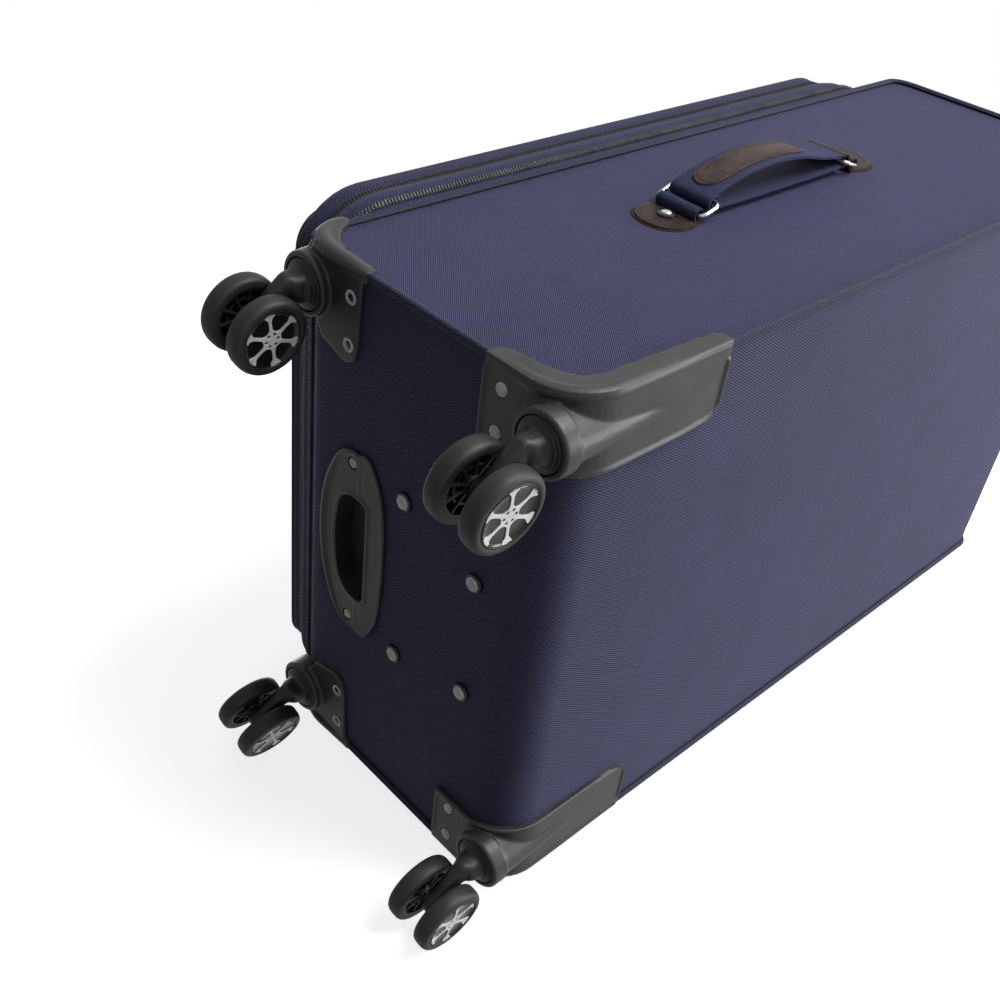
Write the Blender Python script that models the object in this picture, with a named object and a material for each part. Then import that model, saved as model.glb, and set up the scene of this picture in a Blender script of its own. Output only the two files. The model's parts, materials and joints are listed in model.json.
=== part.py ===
"""Softside upright suitcase on four twin-wheel casters.

The case frame has its origin at the middle of the case's base, on the back panel's plane:
X is the width (+X is the side with the carry handle), Y the depth (+Y is the back) and Z the height.
One empty, case_frame, lifts it onto the wheels. Every moving piece hangs from an empty on its joint's axis.
"""

import math

import bmesh
import bpy
from mathutils import Matrix

# ---- driving dimensions, in metres ----
GAP = 0.0003                    # clearance between touching pieces
CASE_HALF_WIDTH = 0.209
CASE_DEPTH = 0.234              # back panel to the rim where the expander starts
CASE_HEIGHT = 0.700             # base panel to top panel
WALL = 0.004
BASE_BACK_RADIUS = 0.035
TOP_BACK_RADIUS = 0.015
BASE_ABOVE_FLOOR = 0.073        # height of the base panel over the floor
CASE_SHIFT_X = -0.0036          # puts the middle of the whole object over the origin
CASE_SHIFT_Y = 0.158

STUDS = [(0.069, -0.126), (0.049, -0.055)]      # right-hand studs through the base panel
STUD_SHAFT = 0.0025
STUD_HEAD = 0.0060
STUD_DROP = 0.005
BOARD_THICKNESS = 0.004
GRAB_Y = (-0.2115, -0.1430)     # front and back edges of the base grab plate
CUP_HALF_LENGTH = 0.050
CUP_Y = (-0.199, -0.160)
CUP_HEIGHT = 0.014

EXPANDER_FRONT = 0.2795         # distance of the main zip's plane from the back panel
EXPANDER_TRAVEL = 0.045
SLEEVE_END = -CASE_DEPTH + EXPANDER_TRAVEL + 0.007
LID_FRONT = 0.299
RIM_HALF_WIDTH = 0.2065
EXPANDER_MARGIN = 0.012         # the rim's step in from the base and the top
EXPANDER_TAPER = 0.014          # how much further in the rim stands at the main zip
LID_MARGIN = 0.029
EXPANDER_RADIUS = 0.060
LID_RADIUS = 0.056
LID_HINGE_X = -0.2125
POCKET_HALF_WIDTH = 0.182

WHEEL_RADIUS = 0.027
WHEEL_WIDTH = 0.014
WHEEL_GAP = 0.015               # between a caster's two wheels
HUB_RADIUS = 0.0212
AXLE_RADIUS = 0.0025
HUB_DROP = BASE_ABOVE_FLOOR - WHEEL_RADIUS
TRAIL = 0.019                   # from the swivel's axis back to the wheels' axle
SWIVEL_X = 0.183
SWIVEL_Y = {"back": -0.012, "front": -0.228}
REST_TURN = {"front_right": 6, "back_right": 5, "front_left": 19, "back_left": 6}  # degrees

BOSS_RADIUS = 0.0217
BOSS_DROP = 0.011
MOUTH_RADIUS = 0.018
MOUTH_CEILING = 0.004
GUARD_THICKNESS = 0.004
PIN_RADIUS = 0.0035
PIN_LENGTH = 0.024
PIN_TOP = -0.0018
NECK_RADIUS = 0.0105
NECK_END = -0.0195

TUBE_X = 0.080
TUBE_OUTER = (0.0090, 0.0060)   # half sizes
TUBE_WALL = 0.0012
BEZEL_HALF_WIDTH = 0.104
BEZEL_HALF_DEPTH = 0.0185
TROLLEY_Y = -0.040
TROLLEY_TRAVEL = 0.320
GRIP_HALF_WIDTH = 0.098
GRIP_HALF_DEPTH = 0.0135
GRIP_HEIGHT = 0.020
GRIP_BOTTOM = CASE_HEIGHT - 0.010
BUTTON_TRAVEL = 0.003

SIDE_HANDLE_Y = -0.138
SIDE_HANDLE_Z = 0.345
TOP_HANDLE_Y = -0.130
RING_BAR_U = 0.097              # the ring's bar in its leather loop, from the handle's middle
RING_BAR_N = 0.006
RING_LENGTH = 0.017
RING_HALF_WIDTH = 0.0215
RING_WIRE = 0.00175
RING_REST = 20                  # degrees that a ring stands off the panel at rest
RING_SWING = 25                 # degrees more as the strap is pulled
STRAP_HALF_WIDTH = 0.019
STRAP_END_U = 0.0900
STRAP_THICKNESS = 0.0045

SEGMENTS = 20

# ---- materials: colour, roughness, metallic ----
FINISHES = {
    "twill_fabric": ((0.050, 0.052, 0.115), 0.75, 0.0),
    "pocket_fabric": ((0.055, 0.057, 0.125), 0.75, 0.0),
    "guard_plastic": ((0.045, 0.045, 0.045), 0.48, 0.0),
    "caster_plastic": ((0.018, 0.018, 0.018), 0.38, 0.0),
    "tyre_rubber": ((0.022, 0.022, 0.022), 0.62, 0.0),
    "steel": ((0.62, 0.62, 0.63), 0.25, 1.0),
    "tube_aluminium": ((0.58, 0.59, 0.60), 0.30, 1.0),
    "board": ((0.030, 0.030, 0.032), 0.60, 0.0),
    "grab_plastic": ((0.040, 0.036, 0.033), 0.45, 0.0),
    "leather": ((0.060, 0.032, 0.026), 0.42, 0.0),
    "webbing": ((0.055, 0.062, 0.150), 0.80, 0.0),
    "zip_metal": ((0.30, 0.30, 0.32), 0.35, 1.0),
}


def clear_scene():
    for item in list(bpy.data.objects):
        bpy.data.objects.remove(item)


def material(name):
    if name in bpy.data.materials:
        return bpy.data.materials[name]
    colour, roughness, metallic = FINISHES[name]
    made = bpy.data.materials.new(name)
    made.use_nodes = True
    shader = made.node_tree.nodes["Principled BSDF"]
    shader.inputs["Base Color"].default_value = (*colour, 1.0)
    shader.inputs["Roughness"].default_value = roughness
    shader.inputs["Metallic"].default_value = metallic
    return made


def pivot(name, parent, location=(0, 0, 0), rotation=(0, 0, 0)):
    empty = bpy.data.objects.new(name, None)
    bpy.context.scene.collection.objects.link(empty)
    empty.parent = parent
    empty.location = location
    empty.rotation_euler = rotation
    return empty


# ---- outlines and solids ----
def arc(centre, radius, start, end, steps):
    """Points on an arc from start to end, in degrees, both ends included."""
    turns = [math.radians(start + (end - start) * i / steps) for i in range(steps + 1)]
    return [(centre[0] + radius * math.cos(t), centre[1] + radius * math.sin(t)) for t in turns]


def rounded_box(low_x, low_z, high_x, high_z, radius, steps=5):
    """A rectangle's outline with round corners, anticlockwise."""
    corners = [
        ((high_x - radius, low_z + radius), -90),
        ((high_x - radius, high_z - radius), 0),
        ((low_x + radius, high_z - radius), 90),
        ((low_x + radius, low_z + radius), 180),
    ]
    outline = []
    for centre, start in corners:
        outline += arc(centre, radius, start, start + 90, steps)
    return outline


def smooth_curve(points, steps):
    """A Catmull-Rom curve through the points."""
    padded = [points[0]] + list(points) + [points[-1]]
    curve = []
    for i in range(1, len(padded) - 2):
        p0, p1, p2, p3 = padded[i - 1:i + 3]
        for k in range(steps):
            t = k / steps
            curve.append(tuple(
                0.5 * (2 * b + (c - a) * t + (2 * a - 5 * b + 4 * c - d) * t * t
                       + (3 * b - a - 3 * c + d) * t ** 3)
                for a, b, c, d in zip(p0, p1, p2, p3)
            ))
    curve.append(tuple(points[-1]))
    return curve


AXES = {
    "X": lambda a, b, h: (h, a, b),
    "Y": lambda a, b, h: (a, h, b),
    "Z": lambda a, b, h: (a, b, h),
}


def prism(outline, axis, low, high, far=None):
    """A mesh of the outline, extruded along axis from low to high, where it takes the shape of far if given."""
    place = AXES[axis]
    shape = bmesh.new()
    rings = []
    for h, points in ((low, outline), (high, far or outline)):
        rings.append([shape.verts.new(place(a, b, h)) for a, b in points])
    shape.faces.new(rings[0])
    shape.faces.new(rings[1])
    count = len(outline)
    for i in range(count):
        j = (i + 1) % count
        shape.faces.new([rings[0][i], rings[0][j], rings[1][j], rings[1][i]])
    return finish_mesh(shape)


def box(low, high):
    outline = [(low[0], low[1]), (high[0], low[1]), (high[0], high[1]), (low[0], high[1])]
    return prism(outline, "Z", low[2], high[2])


def lathe(profile, axis="Z", segments=SEGMENTS):
    """A solid turned about axis from (radius, height) points. A flat side faces along the first direction."""
    place = AXES[axis]
    shape = bmesh.new()
    rings = []
    for radius, height in profile:
        if radius == 0:
            rings.append([shape.verts.new(place(0, 0, height))] * segments)
            continue
        ring = []
        for i in range(segments):
            turn = 2 * math.pi * (i + 0.5) / segments
            ring.append(shape.verts.new(place(radius * math.cos(turn), radius * math.sin(turn), height)))
        rings.append(ring)
    for k in range(len(profile)):
        here = rings[k]
        after = rings[(k + 1) % len(profile)]
        for i in range(segments):
            j = (i + 1) % segments
            corners = [here[i], here[j], after[j], after[i]]
            distinct = list(dict.fromkeys(corners))
            if len(distinct) > 2:
                shape.faces.new(distinct)
    return finish_mesh(shape)


def tube_loop(path, radius, sides):
    """A round wire bent along a closed path in the plane Z = 0."""
    shape = bmesh.new()
    rings = []
    count = len(path)
    for i in range(count):
        before, here, after = path[i - 1], path[i], path[(i + 1) % count]
        along = (after[0] - before[0], after[1] - before[1])
        length = math.hypot(*along)
        out = (along[1] / length, -along[0] / length)
        ring = []
        for k in range(sides):
            turn = 2 * math.pi * k / sides
            reach = radius * math.cos(turn)
            ring.append(shape.verts.new((here[0] + out[0] * reach, here[1] + out[1] * reach,
                                         radius * math.sin(turn))))
        rings.append(ring)
    for i in range(count):
        after = rings[(i + 1) % count]
        for k in range(sides):
            m = (k + 1) % sides
            shape.faces.new([rings[i][k], rings[i][m], after[m], after[k]])
    return finish_mesh(shape)


def finish_mesh(shape):
    bmesh.ops.recalc_face_normals(shape, faces=shape.faces)
    mesh = bpy.data.meshes.new("solid")
    shape.to_mesh(mesh)
    shape.free()
    return mesh


def piece(name, mesh, finish, parent, location=(0, 0, 0), smooth=None):
    """One named sub-part."""
    made = bpy.data.objects.new(name, mesh)
    bpy.context.scene.collection.objects.link(made)
    made.parent = parent
    made.location = location
    if not mesh.materials:
        mesh.materials.append(material(finish))
    if smooth:
        mesh.shade_smooth()
        mesh.set_sharp_from_angle(angle=math.radians(smooth))
    return made


def reshape(target, mesh, operation):
    """Adds the solid to target, or takes it away, through a hidden helper beside it."""
    helper = bpy.data.objects.new("helper_" + target.name, mesh)
    bpy.context.scene.collection.objects.link(helper)
    helper.parent = target.parent
    helper.location = target.location
    helper.hide_render = True
    helper.display_type = "WIRE"
    change = target.modifiers.new(operation.lower(), "BOOLEAN")
    change.operation = operation
    change.object = helper


def moved(mesh, offset):
    mesh.transform(Matrix.Translation(offset))
    return mesh


# ---- the case ----
def case_outline(grow=0.0):
    """The case's side view, as (y, z) points, grown outward by grow."""
    front = -CASE_DEPTH - grow
    outline = [(front, -grow)]
    outline += arc((-BASE_BACK_RADIUS, BASE_BACK_RADIUS), BASE_BACK_RADIUS + grow, -90, 0, 6)
    outline += arc((-TOP_BACK_RADIUS, CASE_HEIGHT - TOP_BACK_RADIUS), TOP_BACK_RADIUS + grow, 0, 90, 3)
    outline += [(front, CASE_HEIGHT + grow)]
    return outline


def case_hollow():
    """The inside of the tray, open past the front rim."""
    inside = case_outline(-WALL)
    beyond = -CASE_DEPTH - WALL
    return [(beyond, z) if y < -CASE_DEPTH + 2 * WALL else (y, z) for y, z in inside]


def make_case(frame):
    width = CASE_HALF_WIDTH
    shell = piece("case_shell", prism(case_outline(), "X", -width, width), "twill_fabric", frame)
    reshape(shell, prism(case_hollow(), "X", WALL - width, width - WALL), "DIFFERENCE")
    for side in (1, -1):
        for x, y in STUDS:
            hole = lathe([(0, -WALL), (STUD_SHAFT + 2 * GAP, -WALL), (STUD_SHAFT + 2 * GAP, 2 * WALL),
                          (0, 2 * WALL)], segments=8)
            reshape(shell, moved(hole, (side * x, y, 0)), "DIFFERENCE")
    cup = CUP_HALF_LENGTH + GAP
    reshape(shell, box((-cup, CUP_Y[0] - GAP, -WALL), (cup, CUP_Y[1] + GAP, 2 * WALL)), "DIFFERENCE")
    reach = BEZEL_HALF_WIDTH + GAP
    deep = BEZEL_HALF_DEPTH + GAP
    cut_low = (-reach, TROLLEY_Y - deep, CASE_HEIGHT - 2 * WALL)
    cut_high = (reach, TROLLEY_Y + deep, CASE_HEIGHT + WALL)
    reshape(shell, box(cut_low, cut_high), "DIFFERENCE")


def make_base_board(frame):
    """The stiffener inside the base, with the four studs that hold it."""
    low = WALL + GAP
    outline = [(-0.086, -0.145), (0.086, -0.145), (0.086, -0.100), (0.098, -0.060), (0.098, -0.036),
               (-0.098, -0.036), (-0.098, -0.060), (-0.086, -0.100)]
    board = piece("base_board", prism(outline, "Z", low, low + BOARD_THICKNESS), "board", frame)
    for side in (1, -1):
        for x, y in STUDS:
            stud = lathe([(0, -STUD_DROP), (STUD_HEAD * 0.8, -STUD_DROP), (STUD_HEAD, -STUD_DROP * 0.4),
                          (STUD_HEAD, -GAP), (STUD_SHAFT, -GAP), (STUD_SHAFT, low + BOARD_THICKNESS / 2),
                          (0, low + BOARD_THICKNESS / 2)], segments=12)
            reshape(board, moved(stud, (side * x, y, 0)), "UNION")


def make_grab_handle(frame):
    """The moulded grab plate near the base's front edge, with its finger cup."""
    front, back = GRAB_Y
    bulge = smooth_curve([(0.081, back - 0.022), (0.066, front + 0.016), (0.035, front + 0.003),
                          (0, front), (-0.035, front + 0.003), (-0.066, front + 0.016),
                          (-0.081, back - 0.022)], 2)
    heel = [(-0.075, back - 0.010), (-0.059, back - 0.0025), (-0.030, back), (0.030, back),
            (0.059, back - 0.0025), (0.075, back - 0.010)]
    outline = heel + bulge
    plate = piece("base_grab_handle", prism(outline, "Z", -0.0045, -GAP), "grab_plastic", frame, smooth=30)
    cup_low = (-CUP_HALF_LENGTH, CUP_Y[0], -0.002)
    cup_high = (CUP_HALF_LENGTH, CUP_Y[1], CUP_HEIGHT)
    reshape(plate, box(cup_low, cup_high), "UNION")
    slot = [(-0.044, -0.1625), (0.044, -0.1625), (0.0475, -0.176)]
    slot += smooth_curve([(0.046, -0.186), (0.031, -0.194), (0, -0.1965), (-0.031, -0.194),
                          (-0.046, -0.186)], 2)
    slot += [(-0.0475, -0.176)]
    reshape(plate, prism(slot, "Z", -0.010, CUP_HEIGHT - 0.002), "DIFFERENCE")


def rim_outline(margin, radius, inset=0.0, steps=6):
    wide = RIM_HALF_WIDTH - inset
    low = margin + inset
    return rounded_box(-wide, low, wide, CASE_HEIGHT - low, radius - inset, steps)


def expander_margin(y):
    """How far in the rim stands from the base and the top at depth y."""
    return EXPANDER_MARGIN + EXPANDER_TAPER * (-CASE_DEPTH - y) / (EXPANDER_FRONT - CASE_DEPTH)


def make_expander(frame):
    """The frame between the two zips. Its sleeve is the folded gusset inside the case's rim."""
    slide = pivot("expander_slide", frame)
    back = -CASE_DEPTH - GAP
    outer = prism(rim_outline(expander_margin(-EXPANDER_FRONT), EXPANDER_RADIUS), "Y", -EXPANDER_FRONT, back,
                  rim_outline(expander_margin(back), EXPANDER_RADIUS))
    rim = piece("expander_frame", outer, "twill_fabric", slide)
    reach = (-EXPANDER_FRONT - WALL, back + WALL)
    inner = [rim_outline(expander_margin(y), EXPANDER_RADIUS, 0.007) for y in reach]
    reshape(rim, prism(inner[0], "Y", *reach, inner[1]), "DIFFERENCE")
    sleeve_low = -CASE_DEPTH - 0.002
    sleeve = prism(rim_outline(EXPANDER_MARGIN, EXPANDER_RADIUS, 0.004), "Y", sleeve_low, SLEEVE_END)
    hollow = prism(rim_outline(EXPANDER_MARGIN, EXPANDER_RADIUS, 0.0065), "Y", sleeve_low - GAP,
                   SLEEVE_END + WALL)
    reshape(rim, sleeve, "UNION")
    reshape(rim, hollow, "DIFFERENCE")
    return slide


def make_lid(expander):
    """The front lid with its two pockets, hinged along the left long edge."""
    hinge = pivot("lid_hinge", expander, (LID_HINGE_X, -EXPANDER_FRONT, 0))
    back = (-LID_HINGE_X, EXPANDER_FRONT, 0)
    rim = -EXPANDER_FRONT - GAP
    lid = piece("lid_shell", prism(rim_outline(LID_MARGIN, LID_RADIUS), "Y", -LID_FRONT, rim),
                "twill_fabric", hinge, back)
    hollow = prism(rim_outline(LID_MARGIN, LID_RADIUS, WALL), "Y", WALL - LID_FRONT, rim + WALL)
    reshape(lid, hollow, "DIFFERENCE")
    face = -LID_FRONT - GAP
    low_pocket = rounded_box(-POCKET_HALF_WIDTH, 0.050, POCKET_HALF_WIDTH, 0.428, 0.030, 3)
    piece("lower_pocket", prism(low_pocket, "Y", face - 0.026, face), "pocket_fabric", hinge, back)
    high_pocket = rounded_box(-POCKET_HALF_WIDTH, 0.452, POCKET_HALF_WIDTH, 0.652, 0.030, 3)
    piece("upper_pocket", prism(high_pocket, "Y", face - 0.018, face), "pocket_fabric", hinge, back)
    return hinge


def slider_mesh(direction):
    """A zip slider's body and its puller, which lies on the tape along direction."""
    outline = [(-0.0055, -0.004), (0.0055, -0.004), (0.0055, -0.0028), (0.034, -0.0028),
               (0.034, 0.0028), (0.0055, 0.0028), (0.0055, 0.004), (-0.0055, 0.004)]
    return prism([(direction * x, y) for x, y in outline], "Z", 0, 0.0032)


def make_sliders(frame, expander, lid_hinge):
    half_depth = 0.004
    for name, x, direction in (("main_zip_slider_a", 0.012, 1), ("main_zip_slider_b", -0.012, -1)):
        y = -EXPANDER_FRONT + half_depth + 0.0005
        top = CASE_HEIGHT - expander_margin(y + half_depth) + GAP
        track = pivot(name + "_track", expander, (x, y, top))
        piece(name, slider_mesh(direction), "zip_metal", track)
    y = -0.253
    top = CASE_HEIGHT - expander_margin(y + half_depth) + GAP
    track = pivot("expansion_zip_slider_track", expander, (-0.105, y, top))
    piece("expansion_zip_slider", slider_mesh(-1), "zip_metal", track)
    front = (-0.120 - LID_HINGE_X, EXPANDER_FRONT - LID_FRONT - GAP, 0.440)
    track = pivot("pocket_zip_slider_track", lid_hinge, front, (math.pi / 2, 0, 0))
    piece("pocket_zip_slider", slider_mesh(-1), "zip_metal", track)


# ---- corner guards and casters ----
def shell_cutter():
    grow = CASE_HALF_WIDTH + GAP
    return prism(case_outline(GAP), "X", -grow, grow)


def between(side, near, far):
    """X limits of a right-hand piece, mirrored for the left side."""
    return (near, far) if side > 0 else (-far, -near)


def back_guard(name, side, frame):
    outer = GAP + GUARD_THICKNESS
    skirt = arc((-BASE_BACK_RADIUS, BASE_BACK_RADIUS), BASE_BACK_RADIUS + outer, -90, 0, 6)
    inner = arc((-BASE_BACK_RADIUS, BASE_BACK_RADIUS), BASE_BACK_RADIUS + GAP, -90, 0, 6)
    reach = 0.131
    band = [(-0.067, -outer)] + skirt + [(outer, reach), (GAP, reach)] + inner[::-1] + [(-0.067, -GAP)]
    face = CASE_HALF_WIDTH + GAP
    edge = face + GUARD_THICKNESS
    guard = piece(name, prism(band, "X", *between(side, 0.156, edge)), "guard_plastic", frame, smooth=35)
    flange = [(-0.067, -outer)] + skirt + [(outer, reach), (-0.009, reach), (-0.011, 0.080)]
    flange += [(-0.013, 0.038), (-0.017, 0.025), (-0.026, 0.017), (-0.040, 0.013), (-0.060, 0.010),
               (-0.067, 0.004)]
    reshape(guard, prism(flange, "X", *between(side, face, edge)), "UNION")
    centre = (side * SWIVEL_X, SWIVEL_Y["back"])
    ridge = lathe([(0, -BOSS_DROP), (BOSS_RADIUS, -BOSS_DROP), (BOSS_RADIUS, 0.002), (0.0163, 0.105),
                   (0, 0.105)])
    reshape(guard, moved(ridge, (*centre, 0)), "UNION")
    reshape(guard, shell_cutter(), "DIFFERENCE")
    cut_swivel(guard, centre)


def front_guard(name, side, frame):
    outer = GAP + GUARD_THICKNESS
    edge = CASE_HALF_WIDTH + GAP + GUARD_THICKNESS
    plate = [(edge, -0.177), (0.152, -0.178), (0.144, -0.184), (0.142, -0.193), (0.149, -0.214),
             (0.160, -0.222), (0.172, -0.234), (edge, -0.234)]
    plate = [(side * x, y) for x, y in plate]
    guard = piece(name, prism(plate, "Z", -outer, -GAP), "guard_plastic", frame, smooth=35)
    horn = [(-0.177, -outer), (-0.222, -outer), (-0.235, 0.008), (-0.243, 0.022), (-0.245, 0.032),
            (-0.240, 0.035), (-0.233, 0.024), (-0.220, 0.012), (-0.204, 0.006), (-0.177, 0.006)]
    reshape(guard, prism(horn, "X", *between(side, CASE_HALF_WIDTH + GAP, edge)), "UNION")
    centre = (side * SWIVEL_X, SWIVEL_Y["front"])
    boss = lathe([(0, -BOSS_DROP), (BOSS_RADIUS, -BOSS_DROP), (BOSS_RADIUS, 0.006), (0.019, 0.009),
                  (0, 0.009)])
    reshape(guard, moved(boss, (*centre, 0)), "UNION")
    reshape(guard, shell_cutter(), "DIFFERENCE")
    cut_swivel(guard, centre)


def cut_swivel(guard, centre):
    """The mouth that the fork's collar turns in, and the pin's hole above it."""
    mouth = lathe([(0, -BOSS_DROP - WALL), (MOUTH_RADIUS, -BOSS_DROP - WALL),
                   (MOUTH_RADIUS, -MOUTH_CEILING), (PIN_RADIUS + GAP, -MOUTH_CEILING),
                   (PIN_RADIUS + GAP, -0.0015), (0, -0.0015)])
    reshape(guard, moved(mouth, (*centre, 0)), "DIFFERENCE")


def make_caster(corner, side, depth, frame):
    where = (side * SWIVEL_X, SWIVEL_Y[depth], 0)
    pin_low = PIN_TOP - PIN_LENGTH
    pin = lathe([(0, pin_low), (PIN_RADIUS, pin_low), (PIN_RADIUS, PIN_TOP), (0, PIN_TOP)], segments=12)
    piece(corner + "_swivel_pin", pin, "steel", frame, where, smooth=40)
    swivel = pivot(corner + "_swivel", frame, where, (0, 0, math.radians(REST_TURN[corner])))
    make_fork(corner, swivel)
    axle_centre = (-TRAIL, 0, -HUB_DROP)
    half_length = WHEEL_GAP / 2 + 0.0095
    axle = lathe([(0, -half_length), (AXLE_RADIUS, -half_length), (AXLE_RADIUS, half_length),
                  (0, half_length)], "Y", 12)
    piece(corner + "_axle", axle, "steel", swivel, axle_centre, smooth=40)
    for letter, facing in (("a", 1), ("b", -1)):
        spin = pivot(f"{corner}_wheel_{letter}", swivel, axle_centre)
        piece(f"{corner}_hub_{letter}", lathe(hub_profile(facing), "Y"), "caster_plastic", spin, smooth=40)
        piece(f"{corner}_tyre_{letter}", lathe(tyre_profile(facing), "Y"), "tyre_rubber", spin, smooth=40)


def make_fork(corner, swivel):
    """Collar, neck and the web that carries the axle between the two wheels."""
    top = -MOUTH_CEILING - GAP
    collar = lathe([(0, NECK_END), (NECK_RADIUS, NECK_END), (NECK_RADIUS, -BOSS_DROP),
                    (MOUTH_RADIUS - 2 * GAP, -BOSS_DROP + GAP), (MOUTH_RADIUS - 2 * GAP, top), (0, top)])
    fork = piece(corner + "_fork", collar, "caster_plastic", swivel, smooth=35)
    web = [(0.0095, NECK_END + 0.004), (-0.0095, NECK_END + 0.004), (-0.022, -0.034)]
    web += arc((-TRAIL, -HUB_DROP), 0.0085, 160, 330, 6)
    web += [(0.004, -0.034), (0.0085, -0.026)]
    half = WHEEL_GAP / 2 - 0.001
    reshape(fork, prism(web, "Y", -half, half), "UNION")
    reach = AXLE_RADIUS + GAP
    bore = lathe([(0, -WHEEL_GAP), (reach, -WHEEL_GAP), (reach, WHEEL_GAP), (0, WHEEL_GAP)], "Y", 12)
    reshape(fork, moved(bore, (-TRAIL, 0, -HUB_DROP)), "DIFFERENCE")
    deep = PIN_TOP - PIN_LENGTH - 0.001
    reach = PIN_RADIUS + GAP
    hole = lathe([(0, deep), (reach, deep), (reach, 0), (0, 0)], segments=12)
    reshape(fork, hole, "DIFFERENCE")


def wheel_side(facing, points):
    """Turns (radius, distance from the wheel's inner face) points into a profile along the axle."""
    return [(radius, facing * (WHEEL_GAP / 2 + depth)) for radius, depth in points]


def hub_profile(facing):
    bore = AXLE_RADIUS + GAP
    return wheel_side(facing, [
        (0, 0.0102), (bore, 0.0102), (bore, 0), (0.0062, 0), (0.0062, 0.0100), (0.0178, 0.0100),
        (0.0178, 0.0006), (HUB_RADIUS, 0.0006), (HUB_RADIUS, 0.0128), (0, 0.0128),
    ])


def tyre_profile(facing):
    """The tread's flat sides stand WHEEL_RADIUS from the axle."""
    flat = WHEEL_RADIUS / math.cos(math.pi / SEGMENTS)
    seat = HUB_RADIUS + GAP + 0.0002
    return wheel_side(facing, [
        (seat, 0.0004), (flat - 0.0010, 0.0004), (flat, 0.0028), (flat, 0.0105),
        (flat - 0.0009, 0.0130), (flat - 0.0024, WHEEL_WIDTH), (seat, WHEEL_WIDTH),
    ])


# ---- telescopic handle ----
def flat_tube(half_x, half_y, low, high):
    return box((-half_x, -half_y, low), (half_x, half_y, high))


def make_trolley(frame):
    bezel_parts(frame)
    slide = pivot("trolley_slide", frame, (0, TROLLEY_Y, 0))
    grip_low = GRIP_BOTTOM
    grip_high = GRIP_BOTTOM + GRIP_HEIGHT
    grip = piece("trolley_grip", prism(rounded_box(-GRIP_HALF_WIDTH, -GRIP_HALF_DEPTH, GRIP_HALF_WIDTH,
                                                   GRIP_HALF_DEPTH, 0.010, 4), "Z", grip_low, grip_high),
                 "guard_plastic", slide, smooth=35)
    pocket_low = grip_high - 0.010
    reshape(grip, prism(button_outline(2 * GAP), "Z", pocket_low, grip_high + WALL), "DIFFERENCE")
    press = pivot("release_button_press", slide, (0, 0, grip_high))
    button_low = pocket_low - grip_high + BUTTON_TRAVEL + GAP
    piece("release_button", prism(button_outline(0), "Z", button_low, 0.0035), "caster_plastic", press,
          smooth=35)
    bottom = WALL + BOARD_THICKNESS + 3 * GAP
    top = GRIP_BOTTOM - 0.0132
    inner = (TUBE_OUTER[0] - TUBE_WALL - 2 * GAP, TUBE_OUTER[1] - TUBE_WALL - 2 * GAP)
    for letter, x in (("left", -TUBE_X), ("right", TUBE_X)):
        tube = piece("trolley_outer_tube_" + letter, flat_tube(*TUBE_OUTER, bottom, top),
                     "tube_aluminium", frame, (x, TROLLEY_Y, 0))
        bore = flat_tube(TUBE_OUTER[0] - TUBE_WALL, TUBE_OUTER[1] - TUBE_WALL, bottom - WALL, top + WALL)
        reshape(tube, bore, "DIFFERENCE")
        piece("trolley_inner_tube_" + letter, flat_tube(*inner, 0.060, GRIP_BOTTOM - GAP),
              "tube_aluminium", slide, (x, 0, 0))


def button_outline(grow):
    return rounded_box(-0.021 - grow, -0.0062 - grow, 0.021 + grow, 0.0062 + grow, 0.0060 + grow, 3)


def bezel_parts(frame):
    """The cup in the top panel that the grip sinks into."""
    flange_x = BEZEL_HALF_WIDTH + 0.008
    flange_y = BEZEL_HALF_DEPTH + 0.0035
    top = CASE_HEIGHT + GAP
    outline = rounded_box(-flange_x, -flange_y, flange_x, flange_y, 0.010, 4)
    bezel = piece("trolley_bezel", prism(outline, "Z", top, top + 0.0028), "guard_plastic", frame,
                  (0, TROLLEY_Y, 0), smooth=35)
    floor = GRIP_BOTTOM - 0.0030
    body = box((-BEZEL_HALF_WIDTH, -BEZEL_HALF_DEPTH, floor - 0.0100),
               (BEZEL_HALF_WIDTH, BEZEL_HALF_DEPTH, top + 0.0010))
    reshape(bezel, body, "UNION")
    recess = rounded_box(-GRIP_HALF_WIDTH - 0.0015, -GRIP_HALF_DEPTH - 0.0015, GRIP_HALF_WIDTH + 0.0015,
                         GRIP_HALF_DEPTH + 0.0015, 0.011, 4)
    reshape(bezel, prism(recess, "Z", floor, top + WALL), "DIFFERENCE")
    for x in (-TUBE_X, TUBE_X):
        hole = flat_tube(TUBE_OUTER[0] - TUBE_WALL, TUBE_OUTER[1] - TUBE_WALL, floor - 0.012, floor + WALL)
        reshape(bezel, moved(hole, (x, 0, 0)), "DIFFERENCE")


# ---- carry handles ----
def make_carry_handle(name, frame, location, turn):
    """Two leather tabs, two wire rings and a double strap. U runs along the strap, N off the panel."""
    base = pivot(name + "_handle", frame, location)
    base.rotation_euler = turn
    for letter, way in (("a", -1), ("b", 1)):
        make_tab(f"{name}_handle_tab_{letter}", way, base)
        hinge = pivot(f"{name}_handle_ring_{letter}_pin", base, (way * RING_BAR_U, 0, RING_BAR_N),
                      (0, math.radians(way * RING_REST), 0))
        path = rounded_box(-RING_LENGTH, -RING_HALF_WIDTH, 0, RING_HALF_WIDTH, 0.003, 2)
        path = [(way * u, w) for u, w in path][::way]
        piece(f"{name}_handle_ring_{letter}", tube_loop(path, RING_WIRE, 6), "steel", hinge, smooth=60)
    make_strap(name, base)


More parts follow.
